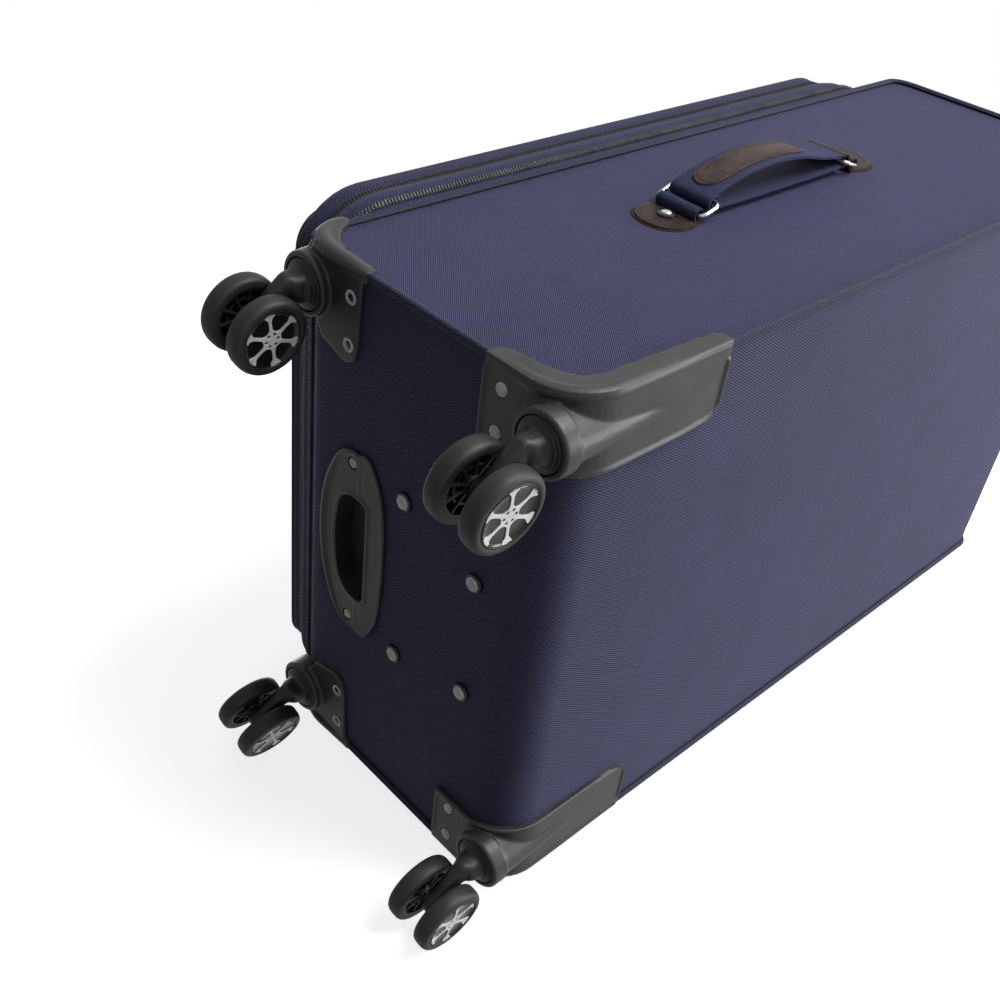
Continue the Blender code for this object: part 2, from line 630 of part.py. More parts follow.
def make_tab(name, way, base):
    """A leather tab, riveted to the panel, with its loop round the ring's bar."""
    thick = 0.0022
    near = RING_BAR_U - 0.001
    round_end = smooth_curve([(0.112, -0.0245), (0.124, -0.0215), (0.132, -0.012), (0.135, 0),
                              (0.132, 0.012), (0.124, 0.0215), (0.112, 0.0245)], 2)
    outline = [(near, 0.0190), (near, -0.0190)] + round_end
    outline = [(way * u, w) for u, w in outline]
    tab = piece(name, prism(outline, "Z", 0.0006, 0.0006 + thick), "leather", base, smooth=35)
    roll_radius = 0.0052
    roll = lathe([(0, -0.0185), (roll_radius, -0.0185), (roll_radius, 0.0185), (0, 0.0185)], "Y", 14)
    reshape(tab, moved(roll, (way * RING_BAR_U, 0, RING_BAR_N)), "UNION")
    hole = RING_WIRE + 2 * GAP
    bore = lathe([(0, -0.030), (hole, -0.030), (hole, 0.030), (0, 0.030)], "Y", 10)
    reshape(tab, moved(bore, (way * RING_BAR_U, 0, RING_BAR_N)), "DIFFERENCE")


def make_strap(name, base):
    """The arched upper strap and the flatter lower strap, joined in a loop at each ring."""
    crown = smooth_curve([(-STRAP_END_U, 0.0120), (-0.086, 0.0170), (-0.066, 0.0235), (-0.042, 0.0285),
                          (-0.010, 0.0305), (0.022, 0.0275), (0.052, 0.0210), (0.082, 0.0165),
                          (STRAP_END_U, 0.0120)], 3)
    belly = [(STRAP_END_U - 0.003, 0.0075), (0.066, 0.0065), (0.030, 0.0060), (-0.030, 0.0060),
             (-0.066, 0.0065), (-STRAP_END_U + 0.003, 0.0075)]
    half = STRAP_HALF_WIDTH
    strap = piece(name + "_handle_strap", prism(crown + belly, "Y", -half, half), "webbing", base, smooth=35)
    under = [(u, n - STRAP_THICKNESS) for u, n in crown if abs(u) < 0.060]
    over = [(0.052, 0.0105), (0.020, 0.0090), (-0.020, 0.0090), (-0.052, 0.0105)]
    reshape(strap, prism(under + over, "Y", -2 * half, 2 * half), "DIFFERENCE")
    bar_u = RING_BAR_U - RING_LENGTH * math.cos(math.radians(RING_REST))
    bar_n = RING_BAR_N + RING_LENGTH * math.sin(math.radians(RING_REST))
    reach = RING_WIRE + 2 * GAP
    raised = RING_BAR_U - RING_LENGTH * math.cos(math.radians(RING_REST + RING_SWING)) - bar_u
    for way in (-1, 1):
        slot = arc((bar_u + raised, bar_n), reach, -90, 90, 4) + arc((bar_u, bar_n), reach, 90, 270, 4)
        slot = [(way * u, n) for u, n in slot]
        reshape(strap, prism(slot, "Y", -2 * half, 2 * half), "DIFFERENCE")


def build():
    clear_scene()
    frame = pivot("case_frame", None, (CASE_SHIFT_X, CASE_SHIFT_Y, BASE_ABOVE_FLOOR))
    make_case(frame)
    make_base_board(frame)
    make_grab_handle(frame)
    expander = make_expander(frame)
    lid_hinge = make_lid(expander)
    make_sliders(frame, expander, lid_hinge)
    for depth, guard in (("front", front_guard), ("back", back_guard)):
        for word, side in (("right", 1), ("left", -1)):
            corner = f"{depth}_{word}"
            guard(corner + "_corner_guard", side, frame)
            make_caster(corner, side, depth, frame)
    make_trolley(frame)
    along_z = Matrix(((0, 0, 1), (0, -1, 0), (1, 0, 0))).to_euler()
    make_carry_handle("side", frame, (CASE_HALF_WIDTH, SIDE_HANDLE_Y, SIDE_HANDLE_Z), along_z)
    make_carry_handle("top", frame, (0, TOP_HANDLE_Y, CASE_HEIGHT), (0, 0, 0))


build()
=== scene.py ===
"""The softside upright suitcase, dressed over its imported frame.

Shapes are made in millimetres in the case frame: X is the width, Y the depth with the back panel at 0,
and Z the height over the base panel. add() turns them into metres and puts them in place.
"""

import json
import math

import bmesh
import bpy
from mathutils import Matrix, Vector, noise


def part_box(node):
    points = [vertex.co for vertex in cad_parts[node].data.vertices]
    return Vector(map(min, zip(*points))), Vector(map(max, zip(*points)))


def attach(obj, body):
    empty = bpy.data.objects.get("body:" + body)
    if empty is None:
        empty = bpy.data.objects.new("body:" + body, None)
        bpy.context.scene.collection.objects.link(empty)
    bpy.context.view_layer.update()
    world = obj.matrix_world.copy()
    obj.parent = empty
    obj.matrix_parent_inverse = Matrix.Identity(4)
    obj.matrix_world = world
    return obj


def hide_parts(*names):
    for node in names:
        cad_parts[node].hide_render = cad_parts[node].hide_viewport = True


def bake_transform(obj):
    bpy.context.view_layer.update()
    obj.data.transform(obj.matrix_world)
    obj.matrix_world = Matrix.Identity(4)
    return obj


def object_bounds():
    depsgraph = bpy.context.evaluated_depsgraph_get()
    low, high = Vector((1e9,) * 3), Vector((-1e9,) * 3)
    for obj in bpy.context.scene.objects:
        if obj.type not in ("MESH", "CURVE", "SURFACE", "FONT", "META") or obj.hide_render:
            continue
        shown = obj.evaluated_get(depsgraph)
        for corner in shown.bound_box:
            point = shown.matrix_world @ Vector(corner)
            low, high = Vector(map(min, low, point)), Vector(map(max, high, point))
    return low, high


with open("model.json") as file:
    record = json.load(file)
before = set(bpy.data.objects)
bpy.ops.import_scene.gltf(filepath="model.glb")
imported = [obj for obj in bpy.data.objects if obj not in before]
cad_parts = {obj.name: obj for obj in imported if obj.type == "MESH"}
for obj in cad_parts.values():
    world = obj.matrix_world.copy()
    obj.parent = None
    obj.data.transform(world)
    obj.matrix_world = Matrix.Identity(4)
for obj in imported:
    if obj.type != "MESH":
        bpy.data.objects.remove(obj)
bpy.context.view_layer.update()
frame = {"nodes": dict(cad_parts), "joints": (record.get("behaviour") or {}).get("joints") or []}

JOINTS = {joint["name"]: joint for joint in frame["joints"]}
CORNERS = ("front_right", "front_left", "back_right", "back_left")
shell_low, shell_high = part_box("case_shell")
ORIGIN = Vector(((shell_low.x + shell_high.x) / 2, shell_high.y, shell_low.z))
TO_WORLD = Matrix.Translation(ORIGIN) @ Matrix.Scale(0.001, 4)


def local(point):
    """A point of the frame, in the case frame's millimetres."""
    return (Vector(point) - ORIGIN) * 1000


def local_box(node):
    low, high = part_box(node)
    return local(low), local(high)


WIDE = local(shell_high).x
TALL = local(shell_high).z
FRONT = local(shell_low).y
BASE_BEND = 35.0                # radius between the base and the back panel
TOP_BEND = 15.0
rim_low, rim_high = local_box("expander_frame")
lid_low, lid_high = local_box("lid_shell")
RIM_BEND = 60.0                 # the expander's corners on the case's right, in the model's front view
LID_BEND = 56.0                 # the lid's
HINGE_RIM_BEND = RIM_BEND - 26  # the same on the side of the cloth hinge
HINGE_LID_BEND = LID_BEND - 30
LIP = FRONT - 4.0               # the tray's cloth rolls this far past its board
TAPER = 14.0                    # how far the rim steps in at base and top, on its way to the main zip
CASTERS = {name: local(JOINTS[name + "_swivel"]["pos_m"]) for name in CORNERS}

# ---- the camera, low behind the case and rolled, so that the case seems to lie on its side ----
camera = bpy.data.objects.new("camera", bpy.data.cameras.new("camera"))
bpy.context.scene.collection.objects.link(camera)
camera.location = ORIGIN + Vector((0.53893, 0.33323, -0.41091))
camera.rotation_euler = [math.radians(turn) for turn in (149.4192, -46.7819, 81.1272)]
camera.data.lens = 42.65
bpy.context.scene.camera = camera
bpy.context.scene.view_settings.view_transform = "Standard"


# ---- mesh tools ----
def to_mesh(shape):
    bmesh.ops.recalc_face_normals(shape, faces=shape.faces)
    mesh = bpy.data.meshes.new("shape")
    shape.to_mesh(mesh)
    shape.free()
    return mesh


def grid(rows, wrap_rows=False, wrap_columns=False, caps=False, weld=0.0):
    """A sheet of quads through rows of points."""
    shape = bmesh.new()
    verts = [[shape.verts.new(point) for point in row] for row in rows]
    count, across = len(rows), len(rows[0])
    for i in range(count if wrap_rows else count - 1):
        here, after = verts[i], verts[(i + 1) % count]
        for j in range(across if wrap_columns else across - 1):
            k = (j + 1) % across
            shape.faces.new([here[j], here[k], after[k], after[j]])
    if caps:
        shape.faces.new(verts[0])
        shape.faces.new(verts[-1])
    if weld:
        bmesh.ops.remove_doubles(shape, verts=shape.verts, dist=weld)
    return to_mesh(shape)


AXES = {
    "X": lambda a, b, h: (h, a, b),
    "Y": lambda a, b, h: (a, h, b),
    "Z": lambda a, b, h: (a, b, h),
}


def prism(outline, axis, low, high):
    place = AXES[axis]
    shape = bmesh.new()
    rings = [[shape.verts.new(place(a, b, h)) for a, b in outline] for h in (low, high)]
    shape.faces.new(rings[0])
    shape.faces.new(rings[1])
    for i in range(len(outline)):
        j = (i + 1) % len(outline)
        shape.faces.new([rings[0][i], rings[0][j], rings[1][j], rings[1][i]])
    bmesh.ops.triangulate(shape, faces=[face for face in shape.faces if len(face.verts) > 4])
    return to_mesh(shape)


def lathe(profile, axis="Z", segments=48, centre=(0, 0, 0)):
    """A solid turned about axis from (radius, height) points."""
    place = AXES[axis]
    shape = bmesh.new()
    rings = []
    for radius, height in profile:
        if radius == 0:
            rings.append([shape.verts.new(Vector(place(0, 0, height)) + Vector(centre))] * segments)
            continue
        ring = []
        for i in range(segments):
            turn = 2 * math.pi * i / segments
            spot = place(radius * math.cos(turn), radius * math.sin(turn), height)
            ring.append(shape.verts.new(Vector(spot) + Vector(centre)))
        rings.append(ring)
    for k in range(len(profile)):
        here, after = rings[k], rings[(k + 1) % len(profile)]
        for i in range(segments):
            j = (i + 1) % segments
            distinct = list(dict.fromkeys([here[i], here[j], after[j], after[i]]))
            if len(distinct) > 2:
                shape.faces.new(distinct)
    return to_mesh(shape)


def tube(path, radius, sides=10, closed=False):
    """A cord along a path. Radius may be a list, one for each point."""
    points = [Vector(point) for point in path]
    count = len(points)
    radii = radius if hasattr(radius, "__len__") else [radius] * count
    up = None
    rows = []
    for i in range(count):
        if closed:
            along = points[(i + 1) % count] - points[i - 1]
        else:
            along = points[min(i + 1, count - 1)] - points[max(i - 1, 0)]
        along.normalize()
        if up is None:
            up = along.orthogonal().normalized()
        up = (up - along * up.dot(along)).normalized()
        side = along.cross(up)
        row = []
        for k in range(sides):
            turn = 2 * math.pi * k / sides
            reach = up * math.cos(turn) + side * math.sin(turn)
            row.append(points[i] + reach * radii[i])
        rows.append(row)
    return grid(rows, wrap_rows=closed, wrap_columns=True, caps=not closed)


def join(meshes):
    shape = bmesh.new()
    for mesh in meshes:
        shape.from_mesh(mesh)
    joined = bpy.data.meshes.new("shape")
    shape.to_mesh(joined)
    shape.free()
    return joined


def closed_up(mesh):
    """Fills a mesh's open edge."""
    shape = bmesh.new()
    shape.from_mesh(mesh)
    bmesh.ops.contextual_create(shape, geom=[edge for edge in shape.edges if len(edge.link_faces) == 1])
    return to_mesh(shape)


def moved(mesh, matrix):
    copy = mesh.copy()
    copy.transform(matrix)
    if matrix.determinant() < 0:
        copy.flip_normals()
    return copy


def linked(name, data):
    """A new object in the scene."""
    made = bpy.data.objects.new(name, data)
    bpy.context.scene.collection.objects.link(made)
    return made


def carve(body, cutter):
    """Adds the cut of one helper object out of another."""
    change = body.modifiers.new("cut", "BOOLEAN")
    change.operation = "DIFFERENCE"
    change.object = cutter


def settled(body, cutters):
    """The mesh that the modifiers of a helper object give. The helpers are then removed."""
    bpy.context.view_layer.update()
    mesh = bpy.data.meshes.new_from_object(body.evaluated_get(bpy.context.evaluated_depsgraph_get()))
    for made in [body] + cutters:
        bpy.data.objects.remove(made)
    return mesh


def fuse(meshes, voxel, rounds, cuts=()):
    """One soft-edged solid from overlapping ones, with the cuts taken out of it."""
    body = linked("helper", join(meshes))
    remesh = body.modifiers.new("fuse", "REMESH")
    remesh.mode = "VOXEL"
    remesh.voxel_size = voxel
    soften = body.modifiers.new("soften", "SMOOTH")
    soften.factor = 0.5
    soften.iterations = rounds
    cutters = [linked("helper", cut) for cut in cuts]
    for cutter in cutters:
        carve(body, cutter)
    return settled(body, cutters)


def arc(centre, radius, start, end, steps):
    turns = [math.radians(start + (end - start) * i / steps) for i in range(steps + 1)]
    return [(centre[0] + radius * math.cos(t), centre[1] + radius * math.sin(t)) for t in turns]


def smooth_curve(points, steps):
    """A Catmull-Rom curve through the points."""
    padded = [points[0]] + list(points) + [points[-1]]
    curve = []
    for i in range(1, len(padded) - 2):
        p0, p1, p2, p3 = padded[i - 1:i + 3]
        for k in range(steps):
            t = k / steps
            curve.append(tuple(
                0.5 * (2 * b + (c - a) * t + (2 * a - 5 * b + 4 * c - d) * t * t
                       + (3 * b - a - 3 * c + d) * t ** 3)
                for a, b, c, d in zip(p0, p1, p2, p3)
            ))
    curve.append(tuple(points[-1]))
    return curve


def resample(path, step, closed=False):
    """Points at even distances along a path of tuples; the first three numbers give the distance."""
    points = list(path) + [path[0]] if closed else list(path)
    lengths = [0.0]
    for before, here in zip(points, points[1:]):
        lengths.append(lengths[-1] + math.dist(before[:3], here[:3]))
    count = max(2, round(lengths[-1] / step))
    out, k = [], 0
    for i in range(count if closed else count + 1):
        want = lengths[-1] * i / count
        while k < len(lengths) - 2 and lengths[k + 1] < want:
            k += 1
        t = (want - lengths[k]) / max(lengths[k + 1] - lengths[k], 1e-9)
        out.append(tuple(a + (b - a) * t for a, b in zip(points[k], points[k + 1])))
    return out


def rounded_box(low_x, low_z, high_x, high_z, radius, steps=5):
    corners = [
        ((high_x - radius, low_z + radius), -90),
        ((high_x - radius, high_z - radius), 0),
        ((low_x + radius, high_z - radius), 90),
        ((low_x + radius, low_z + radius), 180),
    ]
    outline = []
    for centre, start in corners:
        outline += arc(centre, radius, start, start + 90, steps)
    return outline


def rim_path(low_x, low_z, high_x, high_z, radius, step=14.0, left=None):
    """Round a rectangle's rim, anticlockwise from the middle of its left side.

    Gives x, z and the outward normal. Left is the corners' radius on that side, where it differs.
    """
    middle = (low_z + high_z) / 2
    path = [(low_x, middle, -1.0, 0.0)]
    left = left or radius
    corners = [
        ((low_x + left, low_z + left), 180, left),
        ((high_x - radius, low_z + radius), 270, radius),
        ((high_x - radius, high_z - radius), 0, radius),
        ((low_x + left, high_z - left), 90, left),
    ]
    for (x, z), start, radius in corners:
        for k in range(9):
            turn = math.radians(start + k * 11.25)
            path.append((x + radius * math.cos(turn), z + radius * math.sin(turn),
                         math.cos(turn), math.sin(turn)))
    filled = []
    for here, after in zip(path, path[1:] + path[:1]):
        pieces = max(1, round(math.dist(here[:2], after[:2]) / step))
        for k in range(pieces):
            t = k / pieces
            filled.append(tuple(a + (b - a) * t for a, b in zip(here, after)))
    return filled


def rim_point(spot, n, y):
    """A point n off the rim at depth y, where the rim has stepped in towards the main zip."""
    x, z, nx, nz = spot
    middle = (rim_low.z + rim_high.z) / 2
    straight = (rim_high.z - rim_low.z) / 2 - RIM_BEND
    inward = TAPER * max(0.0, FRONT - y) / (FRONT - rim_low.y)
    return x + nx * n, y, z + nz * n - inward * max(-1.0, min(1.0, (z - middle) / straight))


def rim_rows(path, section):
    """Rows of points: section gives (distance off the rim, y)."""
    return [[rim_point(spot, n, y) for n, y in section] for spot in path]


# ---- pieces ----
# the ribs' direction on a panel that faces along each axis, as (first, second) in the panel's two axes,
# and how much finer than the back panel's they are there
RIBS = {0: (0.768, -0.641), 1: (-0.547, 0.837), 2: (0.542, 0.841)}
FINENESS = {0: 1.35, 1: 1.0, 2: 1.1}


def weave(mesh):
    """A map in millimetres, across and along the twill's ribs, panel by panel."""
    layer = mesh.uv_layers.new(name="weave")
    for face in mesh.polygons:
        normal = face.normal
        axis = max(range(3), key=lambda i: abs(normal[i]))
        first, second = [i for i in range(3) if i != axis]
        along = RIBS[axis]
        for index in face.loop_indices:
            spot = mesh.vertices[mesh.loops[index].vertex_index].co
            a, b = spot[first] * FINENESS[axis], spot[second] * FINENESS[axis]
            layer.data[index].uv = (a * along[1] - b * along[0], a * along[0] + b * along[1])


def add(name, mesh, material, body, replaced=(), smooth=40, cloth=False, place=None):
    """A piece of the object: its mesh is in the case frame's millimetres."""
    mesh = mesh.copy()
    if cloth:
        weave(mesh)
    mesh.transform(TO_WORLD @ (place or Matrix.Identity(4)))
    mesh.materials.clear()
    mesh.materials.append(material)
    made = linked(name, mesh)
    mesh.shade_smooth()
    if smooth:
        mesh.set_sharp_from_angle(angle=math.radians(smooth))
    if body:
        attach(made, body)
    if replaced:
        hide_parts(*replaced)
    return made


WALL = 0.0034                   # metres of cloth, foam and lining in the case's and lid's walls


def thicken(made, thickness, inside=None):
    """Gives a sheet its thickness, inward, with the lining's material on its inner face."""
    solid = made.modifiers.new("thickness", "SOLIDIFY")
    solid.thickness = thickness
    solid.offset = -1
    if inside:
        made.data.materials.append(inside)
        solid.material_offset = 1


def refine(made):
    soften = made.modifiers.new("smooth", "SUBSURF")
    soften.levels = soften.render_levels = 1


# ---- materials ----
class Shader:
    """A material's node tree, or the world's, built with one call for each node."""

    def __init__(self, name, owners=bpy.data.materials, main="Principled BSDF", **surface):
        self.material = owners.new(name)
        self.material.use_nodes = True
        self.tree = self.material.node_tree
        self.main = self.tree.nodes[main]
        for key, value in surface.items():
            self.plug(self.main.inputs[key.replace("_", " ").title()], value)

    def plug(self, target, value):
        if isinstance(value, bpy.types.NodeSocket):
            self.tree.links.new(value, target)
        elif hasattr(value, "__len__") and target.type == "RGBA":
            target.default_value = (*value, 1.0)[:4]
        else:
            target.default_value = value

    def node(self, kind, inputs, output=0, **settings):
        made = self.tree.nodes.new("ShaderNode" + kind)
        for key, value in settings.items():
            setattr(made, key, value)
        for key, value in inputs.items():
            self.plug(made.inputs[key], value)
        return made.outputs[output]

    def maths(self, operation, first, second=0.0, third=0.0):
        return self.node("Math", {0: first, 1: second, 2: third}, operation=operation)

    def blend(self, amount, low, high):
        mixed = self.tree.nodes.new("ShaderNodeMix")
        mixed.data_type = "RGBA"
        self.plug(mixed.inputs["Factor"], amount)
        self.plug(mixed.inputs[6], low)
        self.plug(mixed.inputs[7], high)
        return mixed.outputs[2]

    def ramp(self, value, low, high, bottom=0.0, top=1.0):
        return self.node("MapRange", {0: value, 1: low, 2: high, 3: bottom, 4: top})

    def noise(self, scale, detail=2.0, where=None, roughness=0.5):
        inputs = {"Scale": scale, "Detail": detail, "Roughness": roughness}
        inputs["Vector"] = self.place() if where is None else where
        return self.node("TexNoise", inputs)

    def place(self):
        return self.node("TexCoord", {}, 3)

    def bump(self, height, distance, strength):
        return self.node("Bump", {"Height": height, "Distance": distance, "Strength": strength})

    def finish(self, **surface):
        for key, value in surface.items():
            self.plug(self.main.inputs[key.replace("_", " ").title()], value)
        return self.material


def ribbed_cloth(name, dark, light, pitch=1.58, bead=1.2, depth=0.00036, rough=0.62, sheen=0.15):
    """Twill: raised ribs along one way of the weave map, each made of short floats, with painted shade in the
    furrows and a painted highlight on the crests.
    """
    cloth = Shader(name)
    weave_map = cloth.node("UVMap", {}, uv_map="weave")
    split = cloth.tree.nodes.new("ShaderNodeSeparateXYZ")
    cloth.plug(split.inputs[0], weave_map)
    drift = cloth.noise(9.0, 2.0)
    across = cloth.maths("MULTIPLY_ADD", cloth.maths("SUBTRACT", drift, 0.5), 1.2, split.outputs[0])
    row = cloth.maths("DIVIDE", across, pitch)
    inside = cloth.maths("FRACT", row)
    from_middle = cloth.maths("ABSOLUTE", cloth.maths("SUBTRACT", inside, 0.5))
    crest = cloth.ramp(from_middle, 0.12, 0.44, 1.0, 0.0)
    shift = cloth.maths("MULTIPLY", cloth.maths("FLOOR", row), 0.37)
    step = cloth.maths("ADD", cloth.maths("DIVIDE", split.outputs[1], bead), shift)
    slant = cloth.maths("ADD", step, cloth.maths("MULTIPLY", inside, 0.6))
    float_end = cloth.maths("ABSOLUTE", cloth.maths("SUBTRACT", cloth.maths("FRACT", slant), 0.5))
    knot = cloth.ramp(float_end, 0.30, 0.50, 1.0, 0.45)
    height = cloth.maths("MULTIPLY", crest, knot)
    blotch = cloth.noise(22.0, 4.0)
    thread = cloth.noise(900.0, 2.0)
    # The colour follows the ribs' height: painted shade in the furrows and at the floats' ends, painted
    # highlight on the crests; thread and blotch noise add random tone.
    tone = cloth.maths("MULTIPLY_ADD", cloth.maths("SUBTRACT", thread, 0.5), 0.5, height)
    tone = cloth.maths("MULTIPLY_ADD", cloth.maths("SUBTRACT", blotch, 0.5), 0.30, tone)
    colour = cloth.blend(cloth.ramp(tone, 0.0, 1.1), dark, light)
    cloth.finish(
        base_color=colour,
        roughness=cloth.ramp(height, 0.0, 1.0, rough + 0.2, rough),
        normal=cloth.bump(height, depth, 0.75),
    )
    cloth.main.inputs["Sheen Weight"].default_value = sheen
    cloth.main.inputs["Sheen Roughness"].default_value = 0.45
    cloth.main.inputs["Sheen Tint"].default_value = (0.55, 0.58, 0.95, 1.0)
    cloth.main.inputs["Specular IOR Level"].default_value = 0.35
    return cloth.material


def cord_cloth(name, dark, light, scale=520.0, depth=0.0002, rough=0.7):
    """A fine woven tape or cord: crossed threads at right angles, with slubs."""
    cloth = Shader(name)
    place = cloth.place()
    warp = cloth.node("TexWave", {"Vector": place, "Scale": scale, "Distortion": 0.6, "Detail": 1.0},
                      bands_direction="DIAGONAL")
    slubs = cloth.noise(1400.0, 2.0)
    worn = cloth.noise(35.0, 3.0)
    height = cloth.maths("MULTIPLY_ADD", slubs, 0.45, cloth.maths("MULTIPLY", warp, 0.7))
    tone = cloth.maths("MULTIPLY_ADD", cloth.maths("SUBTRACT", worn, 0.5), 0.4, height)
    cloth.finish(
        base_color=cloth.blend(cloth.ramp(tone, 0.1, 0.95), dark, light),
        roughness=rough,
        normal=cloth.bump(height, depth, 0.6),
    )
    cloth.main.inputs["Sheen Weight"].default_value = 0.2
    return cloth.material


def moulded(name, dark, light, rough=0.5, grain=0.00006, scale=1500.0, wear=0.1):
    """Moulded plastic or rubber: a fine pebble grain, faint flow marks and paler rubbed patches."""
    plastic = Shader(name)
    pebble = plastic.node("TexVoronoi", {"Vector": plastic.place(), "Scale": scale}, feature="SMOOTH_F1")
    flow = plastic.noise(30.0, 5.0, roughness=0.6)
    scuffs = plastic.noise(260.0, 6.0, roughness=0.75)
    rubbed = plastic.ramp(scuffs, 0.56, 0.74, 0.0, wear)
    tone = plastic.maths("ADD", plastic.ramp(flow, 0.3, 0.7, 0.0, 0.6), rubbed)
    plastic.finish(
        base_color=plastic.blend(tone, dark, light),
        roughness=plastic.maths("MULTIPLY_ADD", flow, 0.16, rough - 0.08),
        normal=plastic.bump(plastic.maths("ADD", pebble, plastic.maths("MULTIPLY", scuffs, 0.4)), grain, 0.5),
    )
    return plastic.material


def metal(name, colour, rough=0.22, brushed=0.0, metallic=1.0):
    """Plated or brushed metal with faint smudges and fine scratches."""
    plate = Shader(name, metallic=metallic)
    place = plate.place()
    stretched = plate.node("Mapping", {"Vector": place, "Scale": (900.0, 900.0, 14.0)})
    lines = plate.noise(1.0, 3.0, stretched)
    smudge = plate.noise(90.0, 3.0)
    dull = tuple(part * 0.72 for part in colour)
    plate.finish(
        base_color=plate.blend(plate.ramp(smudge, 0.35, 0.75), colour, dull),
        roughness=plate.maths("MULTIPLY_ADD", smudge, 0.16, rough - 0.04),
        normal=plate.bump(lines, 0.00003, 0.15 + brushed),
    )
    return plate.material


def leather(name, dark, light, rough=0.42):
    """Smooth leather: pores and creases between soft cells, with painted shade in the creases and low folds
    and a painted highlight on the raised folds.
    """
    hide = Shader(name)
    place = hide.place()
    cells = hide.node("TexVoronoi", {"Vector": place, "Scale": 620.0, "Randomness": 1.0},
                      feature="DISTANCE_TO_EDGE")
    creases = hide.ramp(cells, 0.0, 0.16)
    folds = hide.noise(120.0, 5.0, roughness=0.65)
    # Colour follows the bump's height: painted shade in the creases and low folds, painted highlight on the
    # raised folds.
    tone = hide.maths("MULTIPLY_ADD", creases, 0.35, hide.ramp(folds, 0.40, 0.62, 0.0, 0.85))
    hide.finish(
        base_color=hide.blend(tone, dark, light),
        roughness=hide.maths("MULTIPLY_ADD", folds, 0.25, rough - 0.1),
        normal=hide.bump(hide.maths("MULTIPLY_ADD", folds, 2.4, creases), 0.00030, 0.8),
    )
    hide.main.inputs["Specular IOR Level"].default_value = 0.22
    return hide.material


twill = ribbed_cloth("twill", (0.0020, 0.0020, 0.012), (0.074, 0.071, 0.186))
# The next twill is a darker copy of the first, a painted shade, for the lid, the expander band and the
# expansion tape.
front_twill_painted_shade = ribbed_cloth("front_twill_painted_shade", (0.0015, 0.0017, 0.010), (0.048, 0.049, 0.140))
pocket_twill = ribbed_cloth("pocket_twill", (0.0025, 0.0025, 0.014), (0.076, 0.073, 0.190))
cord_navy = ribbed_cloth("piping_cord", (0.0050, 0.0055, 0.022), (0.046, 0.049, 0.118), 1.7, 1.0, 0.0004)
# The seam-shadow cloth is for near-black cords laid in grooves: painted shade.
seam_painted_shade = cord_cloth("seam_shadow", (0.002, 0.002, 0.004), (0.006, 0.006, 0.012), 900.0)
tape_dark = cord_cloth("zip_tape", (0.008, 0.008, 0.018), (0.026, 0.027, 0.055), 700.0)
webbing = ribbed_cloth("webbing", (0.0050, 0.0065, 0.028), (0.036, 0.044, 0.135), 1.5, 0.9, 0.0004, 0.6, 0.1)
webbing_low = ribbed_cloth("webbing_low", (0.0040, 0.0050, 0.022), (0.034, 0.042, 0.120),
                           2.2, 1.4, 0.0006, 0.6, 0.1)
thread_brown = cord_cloth("thread_brown", (0.012, 0.006, 0.005), (0.050, 0.026, 0.020), 1500.0)
lining = cord_cloth("lining", (0.060, 0.060, 0.064), (0.130, 0.130, 0.138), 600.0)
coil_nylon = moulded("zip_coil", (0.070, 0.070, 0.080), (0.17, 0.17, 0.18), 0.28, 0.00002)
coil_dark = moulded("zip_coil_dark", (0.010, 0.010, 0.016), (0.042, 0.042, 0.055), 0.34, 0.00002)
guard_plastic = moulded("guard_plastic", (0.024, 0.024, 0.025), (0.070, 0.070, 0.071), 0.44, 0.00010,
                        1100.0, 0.3)
caster_plastic = moulded("caster_plastic", (0.009, 0.009, 0.009), (0.022, 0.022, 0.023), 0.50, 0.00005)
gloss_plastic = moulded("cap_plastic", (0.006, 0.006, 0.006), (0.014, 0.014, 0.014), 0.20, 0.00001)
tyre_rubber = moulded("tyre_rubber", (0.014, 0.014, 0.014), (0.034, 0.034, 0.034), 0.55, 0.00008,
                      900.0, 0.25)
grab_plastic = moulded("grab_plastic", (0.026, 0.022, 0.020), (0.060, 0.052, 0.048), 0.40, 0.00006)
steel = metal("plated_steel", (0.90, 0.90, 0.89), 0.22)
rivet_metal = metal("rivet_metal", (0.95, 0.95, 0.93), 0.24, metallic=0.05)
star_paint = metal("silver_paint", (0.90, 0.90, 0.91), 0.42, metallic=0.2)
aluminium = metal("brushed_aluminium", (0.62, 0.63, 0.65), 0.30, 0.25)
slider_metal = metal("slider_metal", (0.24, 0.24, 0.26), 0.30)
brown_leather = leather("brown_leather", (0.008, 0.005, 0.004), (0.080, 0.044, 0.035), 0.40)
dark_leather = leather("dark_leather", (0.007, 0.003, 0.002), (0.040, 0.019, 0.014), 0.34)
edge_paint = leather("leather_edge", (0.012, 0.005, 0.004), (0.040, 0.016, 0.012), 0.5)
board = moulded("board", (0.020, 0.020, 0.022), (0.050, 0.050, 0.054), 0.6, 0.00008)


# ---- the case's fabric tray ----
def case_columns():
    """(y, lowest z, highest z) of the tray's side, from the front rim to the back panel."""
    roll_in, roll_up = 18.0, rim_low.z
    columns = []
    for k in range(6):
        turn = math.radians(k * 18.0)
        lift = roll_up * (1 - math.sin(turn))
        columns.append((LIP + roll_in * (1 - math.cos(turn)), lift, TALL - lift))
    start = LIP + roll_in
    columns += [(start + (-60.0 - start) * k / 12, 0.0, TALL) for k in range(1, 13)]
    columns += [(-49.0, 0.0, TALL), (-35.0, 0.0, TALL)]
    for turn in (8, 16, 24.47, 33.75, 45, 56.25, 67.5, 78.75, 90):
        turn = math.radians(turn)
        y = BASE_BEND * (math.sin(turn) - 1)
        low = BASE_BEND * (1 - math.cos(turn))
        over = max(0.0, y + TOP_BEND)
        columns.append((y, low, TALL - TOP_BEND + math.sqrt(max(0.0, TOP_BEND ** 2 - over ** 2))))
    return columns


def fullness(t, power=4):
    """1 in the middle of a panel, 0 at its edges."""
    return 1 - abs(2 * min(max(t, 0.0), 1.0) - 1) ** power


